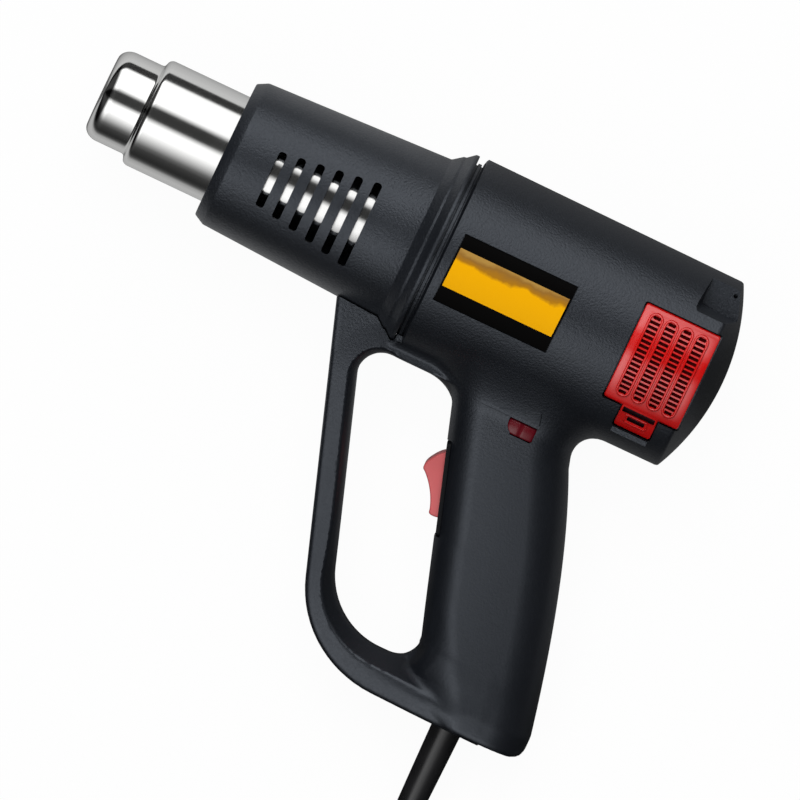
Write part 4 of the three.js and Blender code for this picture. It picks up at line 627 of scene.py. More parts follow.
def housing_skin(x, y, z):
    """The outside of the whole housing as a field, below nought inside."""
    # The barrel tapers a little to the rear
    radius = np.hypot(y, z)
    side = radius - (BARREL_RADIUS - BARREL_TAPER * (x - HOUSING_FRONT) / BARREL_LENGTH)
    barrel = np.maximum(side, np.maximum(x - 253.0, HOUSING_FRONT - 1.5 - x))

    # The grip's front has two small steps and draws back at its foot, where the sides spread
    low = eased_step(-y, 112.0, 139.0)
    front = (grip_x(y) - 0.35 * eased_step(-y, 91, 94) - 0.5 * eased_step(-y, 129, 131.5)
             + 3.0 * eased_step(-y, 131, 147))
    rear = np.interp(y, rear_y, rear_x) - 0.3 * np.maximum(y + 52.0, 0)
    half = GRIP_HALF + FOOT_SPREAD * np.clip((-47.0 - y) / 99.0, 0, 1) ** 3
    share = np.clip((x - front) / (rear - front), 0, 1)
    ahead = (front - x) * 0.951
    behind = (x - rear) * 0.945
    beside = np.abs(z) - half + 1.6 * (2 * share - 1) ** 2
    grip = np.maximum(round_max(ahead, beside, 12.5 + 4.0 * low), round_max(behind, beside, 14.0))
    grip = np.maximum(grip, round_max(behind, SOLE_Y - y, 5.5))
    grip = np.maximum(round_max(grip, SOLE_Y - y, 2.8), y + 14.0)

    # The guard's inner edge slopes in: wider and deeper low down, and hardly at all along the opening's top
    edge = outline_distance(x, y, rail_edge)
    gap = outline_distance(x, y, opening)
    top = eased_step(y, -56.0, -46.0) * eased_step(x, 127.0, 141.0)
    slope_wide = 2.7 + 3.4 * eased_step(-y, 100.0, 156.0) - 2.0 * top
    slope_drop = 4.2 + 4.8 * eased_step(-y, 94.0, 146.0) - 3.0 * top
    lean = slope_drop / slope_wide
    out = outline_distance(x, y, slope_edge) - slope_wide
    rise = GUARD_LIFT * eased_step(x, 158.0, 214.0) * eased_step(-y, 134.0, 150.0)
    face = np.abs(z) - GUARD_HALF - rise + 0.14 * np.clip(out, 0, 8)
    slope_top = GUARD_HALF + rise * (1 - 0.7 * eased_step(x, 192.0, 212.0)) + out * lean
    web = 1.0 + 0.9 * np.clip(gap, 0, 8)
    slope = (np.abs(z) - np.maximum(slope_top, web)) / np.sqrt(1 + lean * lean)
    rail = round_max(round_max(round_max(edge, face, 1.9), slope, 0.5), -gap, 1.2)
    clear_of_edges = eased_step(gap, 0.3, 5.0) * eased_step(y - SOLE_Y, 0.3, 5.0)
    fillet = 0.01 + (3.5 + 7.5 * low - 1.1 * rise) * clear_of_edges
    return round_min(round_min(barrel, grip, 11.6), rail, fillet)


def pocket_field(x, y, z):
    """The pocket cut away at the barrel's top rear corner, as a field."""
    floor = POCKET_FLOOR - POCKET_FALL * (np.abs(z) - POCKET_SIDE)
    return np.maximum(np.maximum(POCKET_FRONT - x, POCKET_SIDE - np.abs(z)), floor - y)


def filter_outline(grow):
    """The filter cover's outline with its latch tab below, grown all round."""
    tab, foot = TAB_HALF + grow, -FILTER_HALF - TAB_LENGTH - grow
    x0, x1 = FILTER_FRONT - grow, FILTER_REAR + grow
    low, high = -FILTER_HALF - grow, FILTER_HALF + grow
    return rounded([(x0, low, 1.0), (FILTER_MIDDLE - tab, low, 0), (FILTER_MIDDLE - tab, foot, 1.0),
                    (FILTER_MIDDLE + tab, foot, 1.0), (FILTER_MIDDLE + tab, low, 0), (x1, low, 1.0),
                    (x1, high, 1.0), (x0, high, 1.0)])


seat_outline = filter_outline(2.0)


def housing_room(x, y, z):
    """The hollow inside the walls, less the screw posts and the filter's seat."""
    dome = np.sqrt((x - DOME_CENTRE) ** 2 + y * y + z * z) - DOME_RADIUS
    ends = np.where(y > -37.0, np.maximum(dome + WALL, 140.4 - x), -9.0)
    room = np.maximum(housing_skin(x, y, z) + WALL, ends)
    room = np.maximum(room, WALL - pocket_field(x, y, z))
    for px, py in SCREW_PLACES:
        room = np.maximum(room, POST_RADIUS - np.hypot(x - px, y - py))
    radius = np.hypot(y, z)
    seat = np.maximum(np.maximum(32.5 - radius, outline_distance(x, y, seat_outline)), 12.0 - z)
    return np.maximum(room, -seat)


def drawn_skin(field, step, low, high):
    """A closed skin where a field is nought, each point moved onto the field itself."""
    axes = [np.arange(a, b + step, step) for a, b in zip(low, high)]
    values = field(axes[0][:, None, None], axes[1][None, :, None], axes[2][None, None, :])
    # Closed off just above the lowest points, on the far side of the plane where the halves are cut
    values = np.maximum(values, (low[2] + 1.6 * step) - axes[2][None, None, :])
    grid = openvdb.FloatGrid(10.0)
    grid.copyFromArray(np.ascontiguousarray(values))
    points, quads = grid.convertToQuads()
    points = np.array(points, float) * step + np.array(low)
    for _ in range(2):
        here = field(*points.T)
        slope = np.stack([field(*(points + nudge).T) - here for nudge in np.eye(3) * NUDGE], 1) / NUDGE
        move = here[:, None] * slope / np.maximum((slope ** 2).sum(1), 0.25)[:, None]
        move[points[:, 2] < low[2] + 2.4 * step] = 0
        points -= np.clip(move, -step, step)
    a, b, c, d = (points[quads[:, k]] for k in range(4))
    if (a * (np.cross(b, c) + np.cross(c, d))).sum() < 0:
        quads = quads[:, ::-1]
    return points, quads


def carved(made, *tools, how="DIFFERENCE"):
    """A blank with others cut from it, joined to it or kept in common, which are used up."""
    for tool in tools:
        cut = made.modifiers.new("cut", "BOOLEAN")
        cut.operation, cut.solver, cut.object = how, "MANIFOLD", tool
    mesh = bpy.data.meshes.new_from_object(made.evaluated_get(bpy.context.evaluated_depsgraph_get()))
    made.modifiers.clear()
    made.data = mesh
    for tool in tools:
        bpy.data.objects.remove(tool)
    return made


def drawn(outline, z0, z1):
    """An outline in x and y drawn out along z."""
    if sum(ax * by - bx * ay for (ax, ay), (bx, by) in zip(outline, outline[1:] + outline[:1])) < 0:
        outline = outline[::-1]
    return swept([[(x, y, z0) for x, y in outline], [(x, y, z1) for x, y in outline]])


def slab(x0, x1, y0, y1, z0, z1):
    """A plain block."""
    return drawn(panel(x0, x1, y0, y1, 0), z0, z1)


def rod(x, y, radius, z0, z1):
    """A round bar along z."""
    turns = np.linspace(0, math.tau, 48, False)
    return drawn([(x + radius * math.cos(a), y + radius * math.sin(a)) for a in turns], z0, z1)


def through(outline, side, near=12.4, far=40.0):
    """An outline drawn out through one side, from near the centre plane."""
    return drawn(outline, *sorted((near * side, far * side)))


def core(x0, x1, radius, sides=160, turn=Matrix.Identity(4)):
    """A round bar about x."""
    return blank(turned([(x0, 0), (x0, radius), (x1, radius), (x1, 0)], sides, turn))


def label_outline(grow):
    """The label's leaning outline."""
    x0, x1, half = LABEL_FRONT - grow, LABEL_REAR + grow, LABEL_HALF + grow
    return rounded([(x0 - LABEL_LEAN, -half, 0.4), (x1 - LABEL_LEAN, -half, 0.4),
                    (x1 + LABEL_LEAN, half, 0.4), (x0 + LABEL_LEAN, half, 0.4)])


SHROUD_OUTSIDE = [  # along and radius of the cone that the front bore takes, with its stepped flange
    (49.3, 25.6), (49.4, 26.0), (49.8, 26.3), (53.0, 28.0), (53.4, 28.15), (53.9, 28.2), (124.5, 31.6),
    (124.9, 31.8), (128.1, 34.25), (128.4, 34.4), (129.0, 34.45), (129.4, 34.65), (131.6, 36.55),
    (132.0, 36.88), (132.5, 37.0), (133.2, 37.0), (133.45, 36.9), (133.5, 36.7),
]
skin_shape = drawn_skin(housing_skin, SKIN_STEP, (103.0, -158.5, -3.0), (256.0, 41.0, 40.0))
room_shape = drawn_skin(housing_room, ROOM_STEP, (103.0, -158.0, -5.0), (252.0, 41.0, 40.0))
REAR_CUT = [(DOME_CENTRE + math.sqrt(DOME_RADIUS ** 2 - radius ** 2), radius)
            for radius in np.linspace(0, 35.75, 26)]
REAR_CUT += [(239.3, 36.12), (238.9, 36.45), (238.0, 36.67), (238.0, 39.5), (262.0, 39.5), (262.0, 0)]


def mirrored(shape, side):
    """A left side's shape, or the same turned over for the right."""
    points, faces = shape
    if side > 0:
        return points, faces
    return points * np.array([1, 1, -1]), [face[::-1] for face in faces]


def raised_line(start, end, half, rise):
    """A thin bead from start to end (x, y) on the left side's skin, let in by half a millimetre."""
    x, y = np.linspace(start, end, 24).T
    low, high = np.full(len(x), 4.0), np.full(len(x), 40.0)
    for _ in range(28):
        middle = (low + high) / 2
        inside = housing_skin(x, y, middle) < 0
        low, high = np.where(inside, middle, low), np.where(inside, high, middle)
    line = [Vector(point) for point in zip(x, y, low)]
    rings = []
    for i, here in enumerate(line):
        along = line[min(i + 1, len(line) - 1)] - line[max(i - 1, 0)]
        across = Vector((along.y, -along.x, 0)).normalized()
        rings.append([here + across * a + Vector((0, 0, b)) for a, b in (
            (-half, -0.5), (half, -0.5), (half, 0.6 * rise), (0.8 * half, 0.95 * rise), (0.5 * half, rise),
            (-half, 0.1 * rise))])
    points, faces = swept(rings)
    return np.array(points), np.array(faces, dtype=object)


WINDOW_MARKS = [  # ledge and thin beads above the wheel's window: start, end, half width and height
    ((171.5, -40.9), (194.8, -40.9), 0.7, 0.55),
    ((178.6, -40.2), (193.4, -35.4), 0.22, 0.3),
    ((193.4, -35.4), (194.5, -40.2), 0.22, 0.3),
]
SWITCH_PLACE = Matrix.Translation((175.73, -75.86, 0)) @ Matrix.Rotation(math.pi + math.radians(18), 4, "Z")


def at_switch(shape):
    """A shape drawn about the rocker's pin, with x out of the grip, in its place."""
    points, faces = shape
    return [SWITCH_PLACE @ Vector(p) for p in points], faces


def housing_half(side):
    """One half: skin, less its hollow, and less everything cut into it."""
    half = blank(mirrored(skin_shape, side))
    half = carved(half, blank(through(panel(60, 300, -200, 80, 0), side, 0.15, 60.0)), how="INTERSECT")
    half = carved(half, blank(turned(REAR_CUT, 224)))
    pocket_corners = [(POCKET_FRONT, 60.0, 0), (POCKET_FRONT, POCKET_FLOOR, 2.0), (260.0, POCKET_FLOOR, 0),
                      (260.0, 60.0, 0)]
    pocket = blank(through(rounded(pocket_corners), side, POCKET_SIDE, 45.0))
    for vertex in pocket.data.vertices:  # its floor, front and side each lean a little
        outward = abs(vertex.co.z) - POCKET_SIDE
        if vertex.co.y < 40:
            vertex.co.y -= POCKET_FALL * outward
        if vertex.co.x < 230:
            vertex.co.x += 1.2 - 0.092 * outward
        if outward < 8:
            vertex.co.z -= 0.13 * side * (vertex.co.y - 30.0)
    half = carved(half, pocket)
    half = carved(half, blank(mirrored(room_shape, side)))
    outside = [(x, r + 0.5) for x, r in SHROUD_OUTSIDE]
    front_room = blank(turned([(49.3, 0), *outside[:-2], (133.55, 37.5), (133.55, 34.8), (141.5, 34.8),
                               (141.5, 0)], 128))
    front_edge = blank(turned([(134.0, 34.0), (134.0, 37.6), (137.1, 37.6), (136.85, 37.2), (136.6, 36.8),
                               (136.4, 36.4), (135.75, 34.0)], 192))
    front_edge = carved(front_edge, blank(slab(120.0, 140.0, -50.0, -31.0, -11.8, 11.8)))
    recess = carved(blank(through(filter_outline(0.5), side)), core(200.0, 250.0, FILTER_SEAT))
    inner = panel(FILTER_FRONT + 2, FILTER_REAR - 2, 2 - FILTER_HALF, FILTER_HALF - 2, 2.0)
    half = carved(half, front_room, front_edge, recess, blank(through(inner, side)))
    wheel_window = blank(drawn(rounded([(183.6, WHEEL_LOW, 4.6), (194.4, WHEEL_LOW, 0.9),
                                        (194.4, WHEEL_HIGH, 0.5), (183.6, WHEEL_HIGH, 0.5)]), -34.0, 34.0))
    turns = np.linspace(0, math.tau, 96, False)
    wheel_room = blank(swept([[(WHEEL_X + WHEEL_ROOM * math.sin(a), y, WHEEL_ROOM * math.cos(a))
                               for a in turns] for y in (WHEEL_LOW, WHEEL_HIGH)]))
    switch_room = blank(at_switch(slab(-17.0, 8.8, -16.0, 16.0, -8.9, 8.9)))
    bezel_room = blank(at_switch(slab(2.1, 13.6, -17.6, 17.6, -10.5, 10.5)))
    boot_hole = core(-1.0, 2.9, 6.05, 64, UP_FROM_BASE)
    beads = [blank(mirrored(raised_line(*mark), side)) for mark in WINDOW_MARKS]
    latch_ledge = panel(FILTER_MIDDLE - 6.9, FILTER_MIDDLE + 6.9, -29.8, -28.0, 0)
    half = carved(half, *beads, blank(through(latch_ledge, side, 19.5, 24.1)), how="UNION")
    half = carved(half, wheel_window, wheel_room)
    for room in (switch_room, bezel_room, boot_hole):
        half = carved(half, room)
    half = carved(half, *[blank(rod(x, y, SHANK_HOLE, -80.0, 6.3)) for x, y in SCREW_PLACES])
    if side < 0:
        half = carved(half, *[blank(rod(x, y, HEAD_HOLE, -80.0, -8.0)) for x, y in SCREW_PLACES])
    else:
        label_cut = carved(blank(through(label_outline(0.3), 1)), core(130.0, 200.0, LABEL_SEAT))
        half = carved(half, label_cut, blank(rod(238.4, 32.3, 0.8, 8.0, 14.0)))
    return half


for name, side in (("left", 1), ("right", -1)):
    piece(f"shell_{name}", housing_half(side), "housing", black_plastic, f"housing_{name}",
          sharp=32)


# Front shroud
# A black moulded cone with six cooling slots on each side keeps hands off the hot tube.
# Its rear flange and collar are trapped in the housing's front bore, so it needs no screws.
SHROUD_BORE = 21.05
SLOTS = 6
SLOT_WIDTH = 3.1
SLOT_START = 69.1
SLOT_PITCH = 7.13
SHROUD_PROFILE = [
    (49.3, SHROUD_BORE), *SHROUD_OUTSIDE, (133.5, 33.7), (134.1, 33.7), (134.1, 34.3), (134.3, 34.5),
    (135.3, 34.5), (135.5, 34.3), (135.5, 33.7), (140.7, 33.7), (140.7, 34.36), (143.1, 34.36),
    (143.1, 31.5), (126.8, 31.5), (126.8, SHROUD_BORE), (122.8, SHROUD_BORE), (122.8, 28.92), (54.0, 26.1),
    (54.0, SHROUD_BORE),
]
slots = []
for number in range(SLOTS):
    x = SLOT_START + SLOT_PITCH * number
    share = number / (SLOTS - 1)
    low, high = -11.0 - 6.6 * share, 10.8 + 4.7 * share
    slots.append(blank(drawn(panel(x - SLOT_WIDTH / 2, x + SLOT_WIDTH / 2, low, high, 1.2), -40.0, 40.0)))
shroud = carved(blank(turned(SHROUD_PROFILE, 160)), *slots)
piece("heat_shroud", shroud, "housing", black_plastic, "front_shroud", sharp=28)


# Nozzle tube
# Stainless tube drawn in at the front to the usual 35 mm tip, with a rolled lip, and polished bright.
# Its rear flange sits between the shroud's walls.
MOUTH_RADIUS = 13.0
TIP_RADIUS = 17.5
TUBE_RADIUS = 20.75
LIP_DEPTH = 5.5
STEEL_WALL = 1.0


def rolled(inset):
    """The lip's curve from the mouth to the tip, inside or out."""
    return [(inset + (LIP_DEPTH - inset) * (1 - math.cos(a)),
             MOUTH_RADIUS - inset + (TIP_RADIUS - MOUTH_RADIUS) * math.sin(a))
            for a in np.linspace(0, math.pi / 2, 14)]


def stepped(inset):
    """The shoulder's curve from the tip up to the tube, inside or out."""
    curve = [(15.6, TIP_RADIUS), (16.1, 17.56), (16.5, 17.75), (16.8, 18.1)]
    curve += [(19.6 - 2.5 * math.cos(a), TUBE_RADIUS - 2.0 + 2.0 * math.sin(a))
              for a in np.linspace(0.15, math.pi / 2, 12)]
    return [(x + inset, r - inset) for x, r in curve]


NOZZLE_PROFILE = [
    (0.25, 11.8), (0.0, 12.1), *rolled(0.0), *stepped(0.0), (127.1, TUBE_RADIUS), (127.1, 23.35),
    (128.3, 23.35), (128.3, TUBE_RADIUS - STEEL_WALL), *reversed(stepped(STEEL_WALL)),
    *reversed(rolled(STEEL_WALL)), (1.0, 11.8),
]
polished_steel, wire = fresh_finish("polished_steel")
where = wire.make("TexCoord").at("Object")
stretched = wire.make("Mapping", {}, {"Vector": where, "Scale": (2600, 30, 30)})
rings = noise(wire, stretched, 1.0, 3.0)
smudge = noise(wire, where, 45.0, 4.0)
shaded(wire, {"Base Color": (0.86, 0.86, 0.85, 1), "Metallic": 1.0,
              "Roughness": smudge * 0.1 + rings * 0.05 + 0.04, "Normal": bumped(wire, 0.06, 0.00002, rings)})
piece("steel_nozzle", turned(NOZZLE_PROFILE, 192), "housing", polished_steel,
      "nozzle_tube", sharp=40)


# Heater
# Resistance wire wound round a mica cross inside a mica sleeve, seen through the nozzle's mouth.
# A thermal fuse sits behind it, clipped to the rear disc.
WINDING_TURNS = 7
WINDING_START, WINDING_LENGTH, WINDING_RADIUS = 37.0, 68.0, 17.05
WIRE_RADIUS = 0.8
heater_wire = metal("heater_wire", (0.32, 0.29, 0.26), 0.42, 0.3, (300, 300, 300))
winding = []
for share in np.linspace(0, 1, WINDING_TURNS * 32 + 1):
    turn = share * WINDING_TURNS * math.tau
    outward = Vector((0, math.cos(turn), math.sin(turn)))
    sideways = Vector((0, -math.sin(turn), math.cos(turn))) * (WINDING_RADIUS * WINDING_TURNS * math.tau)
    along = (sideways + Vector((WINDING_LENGTH, 0, 0))).normalized()
    rise = along.cross(outward)
    middle = Vector((WINDING_START + WINDING_LENGTH * share, 0, 0)) + WINDING_RADIUS * outward
    winding.append([middle + WIRE_RADIUS * (math.cos(a) * outward + math.sin(a) * rise)
                    for a in np.linspace(0, math.tau, 10, False)])
piece("heater_winding", swept(winding), "housing", heater_wire, "heater_coil")

mica_sheet, wire = fresh_finish("mica_sheet")
where = wire.make("TexCoord").at("Object")
flakes = wire.make("TexVoronoi", {}, {"Vector": where, "Scale": 420.0})
veins = noise(wire, where, 160.0, 5.0)
tint = wire.make("ValToRGB", {"stops": [(0.3, (0.33, 0.27, 0.18)), (0.7, (0.6, 0.52, 0.38))]}, {0: veins})
shaded(wire, {"Base Color": tint, "Roughness": flakes * 0.3 + 0.35,
              "Normal": bumped(wire, 0.25, 0.0001, flakes)})


def dress(material, *nodes):
    """CAD nodes that keep their own shape get a finish."""
    for node in nodes:
        mesh = frame["nodes"][node].data
        mesh.materials.clear()
        mesh.materials.append(material)


dress(mica_sheet, "mica_sleeve", "heater_former")


# Motor, fan and control parts inside the housing
# A steel-cased motor drives a moulded fan in a duct, and a small board with a dial sits under the barrel.
# They show only when a filter is off, so they keep the shapes they are made with.
plain_steel = metal("plain_steel", (0.45, 0.45, 0.44), 0.34, 0.25, (400, 400, 60))
bush_bronze = metal("bush_bronze", (0.5, 0.32, 0.14), 0.4, 0.3, (500, 500, 500))
inner_plastic = moulded("inner_plastic", (0.03, 0.031, 0.034), 0.55, 0.3)
pale_nylon = moulded("pale_nylon", (0.66, 0.64, 0.57), 0.5, 0.25)
board_green = moulded("board_green", (0.012, 0.09, 0.035), 0.35, 0.1, 700.0)
dress(plain_steel, "motor_shaft", "motor_armature", "motor_can", "rocker_pin", "clamp_screw_1",
      "clamp_screw_2", "thermal_fuse")
dress(bush_bronze, "front_bush", "rear_bush")
dress(inner_plastic, "fan_duct", "fan_impeller", "motor_end_cap", "switch_body")
dress(pale_nylon, "potentiometer", "terminal_block", "cord_clamp")
dress(board_green, "control_board")
STUB_LOW, STUB_HIGH = 6.5, 40.4  # above the handle's base
sheath = [(STUB_LOW, 0), (STUB_LOW, 3.4), (STUB_LOW + 0.3, CORD_RADIUS), (STUB_HIGH - 0.3, CORD_RADIUS),
          (STUB_HIGH, 3.4), (STUB_HIGH, 0)]
piece("cord_stub", turned(sheath, 40, UP_FROM_BASE), "housing", cord_rubber, "cord_inner")


# Air filters
# Glossy red moulded grilles snap into the barrel's sides, each with four beaded columns of slits.
# A latch tab hangs below each one, and a gauze on felt behind it keeps dust out of the fan; its dark red is
# painted red bounce light from the grille, seen through the slits.
FILTER_FACE = 36.0
FILTER_BACK = 34.3
COLUMNS = 4
COLUMN_PITCH = 6.03
COLUMN_HALF = 2.32
COLUMN_LIFT = 0.4
RIDGE_FOOT, RIDGE_TOP, RIDGE_HALF = 35.2, 36.85, 0.5
SLITS = 17
SLIT_PITCH = 1.83
SLIT_HALF = 0.6
GAUZE_MARGIN = 2.3
GAUZE_WIRE = 0.16
red_plastic = moulded("red_plastic", (0.66, 0.006, 0.005), 0.22, 0.04, 600.0, gloss=0.7, coat=1.0)
# The gauze's dark red is painted light: red bounce from the grille's slit walls, seen through the slits
gauze_painted_bounce = moulded("gauze_painted_bounce", (0.13, 0.006, 0.007), 0.6, 0.2, gloss=0.1)


def on_cylinder(x, y, radius, side):
    """The point over x and y on a cylinder about the barrel's axis."""
    return Vector((x, y, side * math.sqrt(radius * radius - y * y)))


def ring_solid(x0, x1, inner, outer):
    """A thick round sleeve about the barrel's axis."""
    return blank(turned([(x0, inner), (x0, outer), (x1, outer), (x1, inner)], 256))


def filled_in(outline, count):
    """A closed outline with more points on it: count says how many steps an edge's length takes."""
    dense = []
    for (ax, ay), (bx, by) in zip(outline, outline[1:] + outline[:1]):
        steps = count(math.hypot(bx - ax, by - ay))
        dense += [(ax + (bx - ax) * k / steps, ay + (by - ay) * k / steps) for k in range(steps)]
    return dense


def together(shapes):
    """Several shapes as one."""
    points, faces = [], []
    for shape in shapes:
        faces += [[c + len(points) for c in face] for face in shape[1]]
        points += shape[0]
    return points, faces


def ridge(track, half, top, side):
    """A raised bead along a closed track on the barrel's curve."""
    section = [(-half, RIDGE_FOOT), (half, RIDGE_FOOT), (half, top - 0.42), (half * 0.8, top - 0.2),
               (half * 0.42, top - 0.05), (0, top), (-half * 0.42, top - 0.05), (-half * 0.8, top - 0.2),
               (-half, top - 0.42)]
    dense = filled_in(track, lambda reach: max(1, round(reach)))
    rings = []
    for (bx, by), (cx, cy), (ax, ay) in zip(dense[-1:] + dense[:-1], dense, dense[1:] + dense[:1]):
        out = Vector((ay - by, bx - ax)).normalized()
        ring = [on_cylinder(cx + out.x * off, cy + out.y * off, radius, side) for off, radius in section]
        rings.append(ring[::side])
    return swept(rings, closed=True)


def filter_cover(side):
    """One grille: a curved plate with a rounded edge, beaded columns, slits and a latch tab."""
    levels = []
    for inset, radius in ((0.0, 0), (0.0, 35.45), (0.15, 35.8), (0.55, 36.02), (0.55, 99)):
        ring = filled_in(filter_outline(-inset), lambda reach: 1 if reach < 1.0 else 24)
        flat = {0: 12.4, 99: 60.0}.get(radius)  # the first and last levels are flat, inside and outside
        levels.append([Vector((x, y, side * flat)) if flat else on_cylinder(x, y, radius, side)
                       for x, y in ring])
    plate = ring_solid(205.0, 245.0, FILTER_BACK, FILTER_FACE)
    cover = carved(blank(swept(levels[::side])), plate, how="INTERSECT")
    reach = SLIT_PITCH * SLITS / 2 + 0.5
    slits = []
    for number in range(COLUMNS):
        x = FILTER_MIDDLE + (number - (COLUMNS - 1) / 2) * COLUMN_PITCH
        track = panel(x - COLUMN_HALF, x + COLUMN_HALF, COLUMN_LIFT - reach, COLUMN_LIFT + reach, 2.25)
        cover = carved(cover, blank(ridge(track, RIDGE_HALF, RIDGE_TOP, side)), how="UNION")
        for row in range(SLITS):
            y = COLUMN_LIFT + (row - (SLITS - 1) / 2) * SLIT_PITCH
            wide = 1.85 if 0 < row < SLITS - 1 else 1.4
            slits.append(through(panel(x - wide, x + wide, y - SLIT_HALF, y + SLIT_HALF, 0.2), side))
    cover = carved(cover, blank(together(slits)))
    groove = blank(through(panel(FILTER_MIDDLE - 6.3, FILTER_MIDDLE + 6.3, -21.0, -19.0, 0.3), side))
    lowered = carved(blank(through(panel(215.0, 237.0, -30.0, -21.1, 0.1), side)),
                     ring_solid(205.0, 245.0, 35.55, 40.0), how="INTERSECT")
    tab_slot = blank(through(panel(FILTER_MIDDLE - 3.4, FILTER_MIDDLE + 3.4, -23.7, -22.1, 0.4), side))
    cover = carved(cover, groove, lowered, tab_slot)
    rim = panel(FILTER_MIDDLE - 4.3, FILTER_MIDDLE + 4.3, -24.6, -21.6, 0.8)
    return carved(cover, blank(ridge(rim, 0.34, 35.95, side)), how="UNION")


def strand(line, thick):
    """A wire along a line on the barrel's curve."""
    rings = []
    for i, place in enumerate(line):
        ahead = (line[min(i + 1, len(line) - 1)] - line[max(i - 1, 0)]).normalized()
        out = Vector((0, place.y, place.z)).normalized()
        across = ahead.cross(out)
        rings.append([place + thick * (math.cos(a) * across + math.sin(a) * out)
                      for a in np.linspace(0, math.tau, 6, False)])
    return swept(rings)


def filter_gauze(side):
    """Crossed wires in a thin frame on a sheet of felt, bent to the barrel's curve."""
    x0, x1 = FILTER_FRONT + GAUZE_MARGIN, FILTER_REAR - GAUZE_MARGIN
    y1 = FILTER_HALF - GAUZE_MARGIN
    down = np.linspace(-y1, y1, 25)
    sheet = ((x0, 33.0), (x1, 33.0), (x1, 33.2), (x0, 33.2))
    shapes = [swept([[on_cylinder(x, y, radius, side) for x, radius in sheet][::side] for y in down])]
    for y in np.linspace(-y1, y1, 29):
        shapes.append(strand([on_cylinder(x, y, 33.62, side) for x in (x0, x1)], GAUZE_WIRE))
    for x in np.linspace(x0, x1, 22):
        shapes.append(strand([on_cylinder(x, y, 33.38, side) for y in down], GAUZE_WIRE))
    edge = panel(x0 + 0.3, x1 - 0.3, 0.3 - y1, y1 - 0.3, 1.0)
    edge = filled_in(edge, lambda reach: max(1, round(reach / 1.5)))
    shapes.append(strand([on_cylinder(x, y, 33.65, side) for x, y in [*edge, edge[0]]], 0.34))
    return together(shapes)


for name, side in (("left", 1), ("right", -1)):
    piece(f"grille_{name}", filter_cover(side), f"filter_{name}", red_plastic,
          f"filter_cover_{name}", sharp=30)
    piece(f"gauze_{name}", filter_gauze(side), f"filter_{name}", gauze_painted_bounce,
          f"filter_mesh_{name}")


# Label plate
# A thin printed plate glued into a shallow recess in the left side.
# It carries plain bands of black and yellow only, with the yellow darkening to amber at its top.
LABEL_BACK, LABEL_FACE = 36.385, 36.785
INK_LOW, INK_HIGH = -7.1, 8.1
INK_FRONT, INK_REAR = LABEL_FRONT + 0.6, LABEL_REAR - 0.7
YELLOW = (0.97, 0.46, 0.002)
BROWN = (0.46, 0.2, 0.01)
DARK_BROWN = (0.33, 0.16, 0.03)
AMBER = (0.46, 0.26, 0.06)
label_print, wire = fresh_finish("label_print")
where = wire.make("TexCoord").at("Object")
split = wire.make("SeparateXYZ", {}, {0: where})
up, out = split.at("Y") - barrel_axis.y, split.at("Z") - barrel_axis.z
across = (up * math.cos(roll) + out * math.sin(roll)) * 1000
along = (split.at("X") - mouth_x) * 1000 - across * (LABEL_LEAN / LABEL_HALF)
wave = noise(wire, where, 90.0, 5.0)
shade = wire.make("ValToRGB", {"stops": [(0.0, YELLOW), (0.4, YELLOW), (0.56, BROWN), (0.8, DARK_BROWN),
                                         (1.0, AMBER)]}, {0: across / 8 + (wave - 0.5)})
ink = (across.math("GREATER_THAN", across, INK_LOW) * across.math("LESS_THAN", across, INK_HIGH)
       * along.math("GREATER_THAN", along, INK_FRONT) * along.math("LESS_THAN", along, INK_REAR))
print_colour = wire.make("Mix", {"data_type": "RGBA"}, {0: ink, 6: (0.0015, 0.0013, 0.0013, 1), 7: shade}, 2)
shaded(wire, {"Base Color": print_colour, "Roughness": wave * 0.15 + 0.3, "Specular IOR Level": 0.03})
label = carved(blank(through(label_outline(0), 1)), ring_solid(138.0, 188.0, LABEL_BACK, LABEL_FACE),
               how="INTERSECT")
piece("band_label", label, "housing", label_print, "label_plate")


# Temperature wheel
# A crimson thumbwheel on the dial's shaft, which shows through a window on each side of the grip.
# It is moulded in one piece, with eighteen finger notches round its rim.
WHEEL_RADIUS = 17.2
WHEEL_POINTS = 240
NOTCH_DEPTH = 0.5
WHEEL_RIM = [  # heights, and how far in from the rim
    (-47.3, 14.2), (-47.3, 0.5), (-47.0, 0.15), (-46.6, 0.0), (-42.6, 0.0), (-42.2, 0.15), (-41.9, 0.5),
    (-41.9, 14.2),
]
crimson_plastic = moulded("crimson_plastic", (0.12, 0.004, 0.01), 0.28, 0.1, 900.0)
wheel_rings = []
for rise, inset in WHEEL_RIM:
    ring = []
    for k in range(WHEEL_POINTS):
        angle = math.tau * k / WHEEL_POINTS
        notch = NOTCH_DEPTH * math.exp(-(math.sin(9 * angle) / 0.3) ** 2) if inset < 5 else 0
        radius = WHEEL_RADIUS - notch - inset
        ring.append((WHEEL_X + radius * math.sin(angle), rise, radius * math.cos(angle)))
    wheel_rings.append(ring)
piece("heat_thumbwheel", swept(wheel_rings, closed=True), "heat_wheel", crimson_plastic,
      "temperature_wheel", sharp=50)


# Rocker switch
# A coral two-lobed rocker on a steel pin, in a black bezel let into the grip's front.
# It rests tilted with its upper lobe out and tips the other way. Its lower lobe is a little shorter.
ROCKER_HALF = 6.5
ROCKER_TILT = math.radians(14.5)
PIN_HOLE = 1.5
LOBE = [(-3.2, 13.06), (0.0, 13.6), (2.6, 13.33), (5.6, 12.24), (8.2, 10.68), (9.3, 9.0)]
BEZEL_BACK, BEZEL_FACE = 2.15, 3.7
BEZEL_LONG, BEZEL_WIDE = 17.3, 10.2  # half its outside, and half the hole that the rocker moves in
HOLE_LONG, HOLE_WIDE = 14.1, 7.0
coral_plastic = moulded("coral_plastic", (0.64, 0.115, 0.12), 0.36, 0.1, 900.0)
bezel_black = moulded("bezel_black", (0.003, 0.0035, 0.0045), 0.5, 0.4, 1150.0, gloss=0.2)


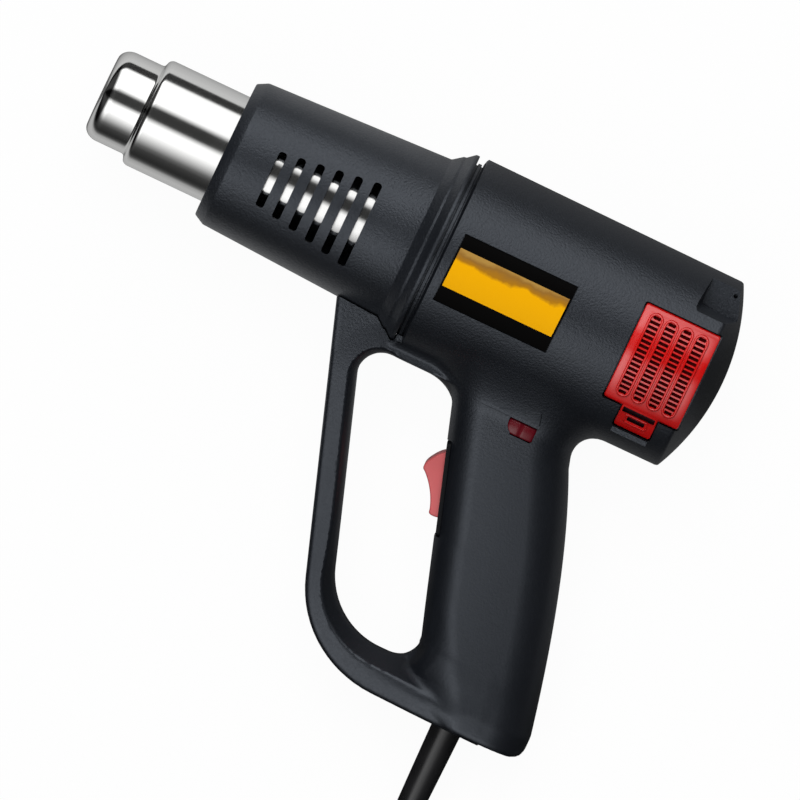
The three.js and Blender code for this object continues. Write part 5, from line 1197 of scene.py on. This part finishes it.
def softened(made, width):
    """A blank with its hard edges rounded."""
    bevel = made.modifiers.new("soft", "BEVEL")
    bevel.width, bevel.segments, bevel.limit_method = width, 3, "ANGLE"
    bevel.angle_limit = math.radians(35)
    bevel.use_clamp_overlap = True
    made.data = bpy.data.meshes.new_from_object(made.evaluated_get(bpy.context.evaluated_depsgraph_get()))
    made.modifiers.clear()
    return made


short_end = [(x, 1.3 + 0.7 * y) for x, y in LOBE]
dish = [(9.3 - 5.2 * s * (1 - s), 7.6 - 16.6 * s) for s in np.linspace(0, 1, 11)][1:-1]
long_end = [(x, -y) for x, y in reversed(LOBE)]
rocker_side = eased([Vector((*place, 0)) for place in [*short_end, *dish, *long_end]], 4)
rocker = softened(blank(drawn([(p.x, p.y) for p in rocker_side], -ROCKER_HALF, ROCKER_HALF)), 0.7)
rocker = carved(rocker, blank(rod(0.0, 0.0, PIN_HOLE, -8.0, 8.0)))
rocker.data.transform(SWITCH_PLACE @ Matrix.Rotation(ROCKER_TILT, 4, "Z"))
piece("coral_rocker", rocker, "rocker", coral_plastic, "rocker_button", sharp=40)

bezel = blank(drawn(panel(-BEZEL_LONG, BEZEL_LONG, -BEZEL_WIDE, BEZEL_WIDE, 2.0), BEZEL_BACK, BEZEL_FACE))
hole = blank(slab(-HOLE_LONG, HOLE_LONG, -HOLE_WIDE, HOLE_WIDE, 1.0, 6.0))
bezel = softened(carved(bezel, hole), 0.5)
upright = Matrix(((0, 0, 1, 0), (1, 0, 0, 0), (0, 1, 0, 0), (0, 0, 0, 1)))
bezel.data.transform(SWITCH_PLACE @ upright)
piece("rocker_bezel", bezel, "housing", bezel_black, "switch_bezel", sharp=40)


# Housing screws
# Cross-recessed steel screws, sunk in round wells on the right side.
# Their rolled threads bite into posts moulded in the left half.
HEAD_RADIUS, SHANK_RADIUS, ROOT_RADIUS = 3.3, 1.5, 1.18
CROSS_LONG, CROSS_WIDE = 1.9, 0.42
SCREW_PROFILE = [(10.9, 0), (10.85, 1.2), (10.6, 2.3), (10.2, 3.0), (9.7, HEAD_RADIUS), (8.3, HEAD_RADIUS),
                 (8.3, SHANK_RADIUS)]
for crest in np.arange(7.0, -5.0, -1.2):
    SCREW_PROFILE += [(crest, SHANK_RADIUS), (crest - 0.3, ROOT_RADIUS), (crest - 0.6, ROOT_RADIUS),
                      (crest - 0.9, SHANK_RADIUS)]
SCREW_PROFILE += [(-5.0, 1.2), (-6.0, 0.3), (-6.0, 0)]
for number, (x, y) in enumerate(SCREW_PLACES, 1):
    inwards = Matrix.Translation((x, y, 0)) @ Matrix.Rotation(-math.pi / 2, 4, "Y")
    screw = blank(turned([(-along, radius) for along, radius in SCREW_PROFILE], 40, inwards))
    cross = [blank(slab(x - a, x + a, y - b, y + b, -12.0, -9.4))
             for a, b in ((CROSS_LONG, CROSS_WIDE), (CROSS_WIDE, CROSS_LONG))]
    piece(f"well_screw_{number}", carved(screw, *cross), "housing", plain_steel,
          f"housing_screw_{number}", sharp=30)
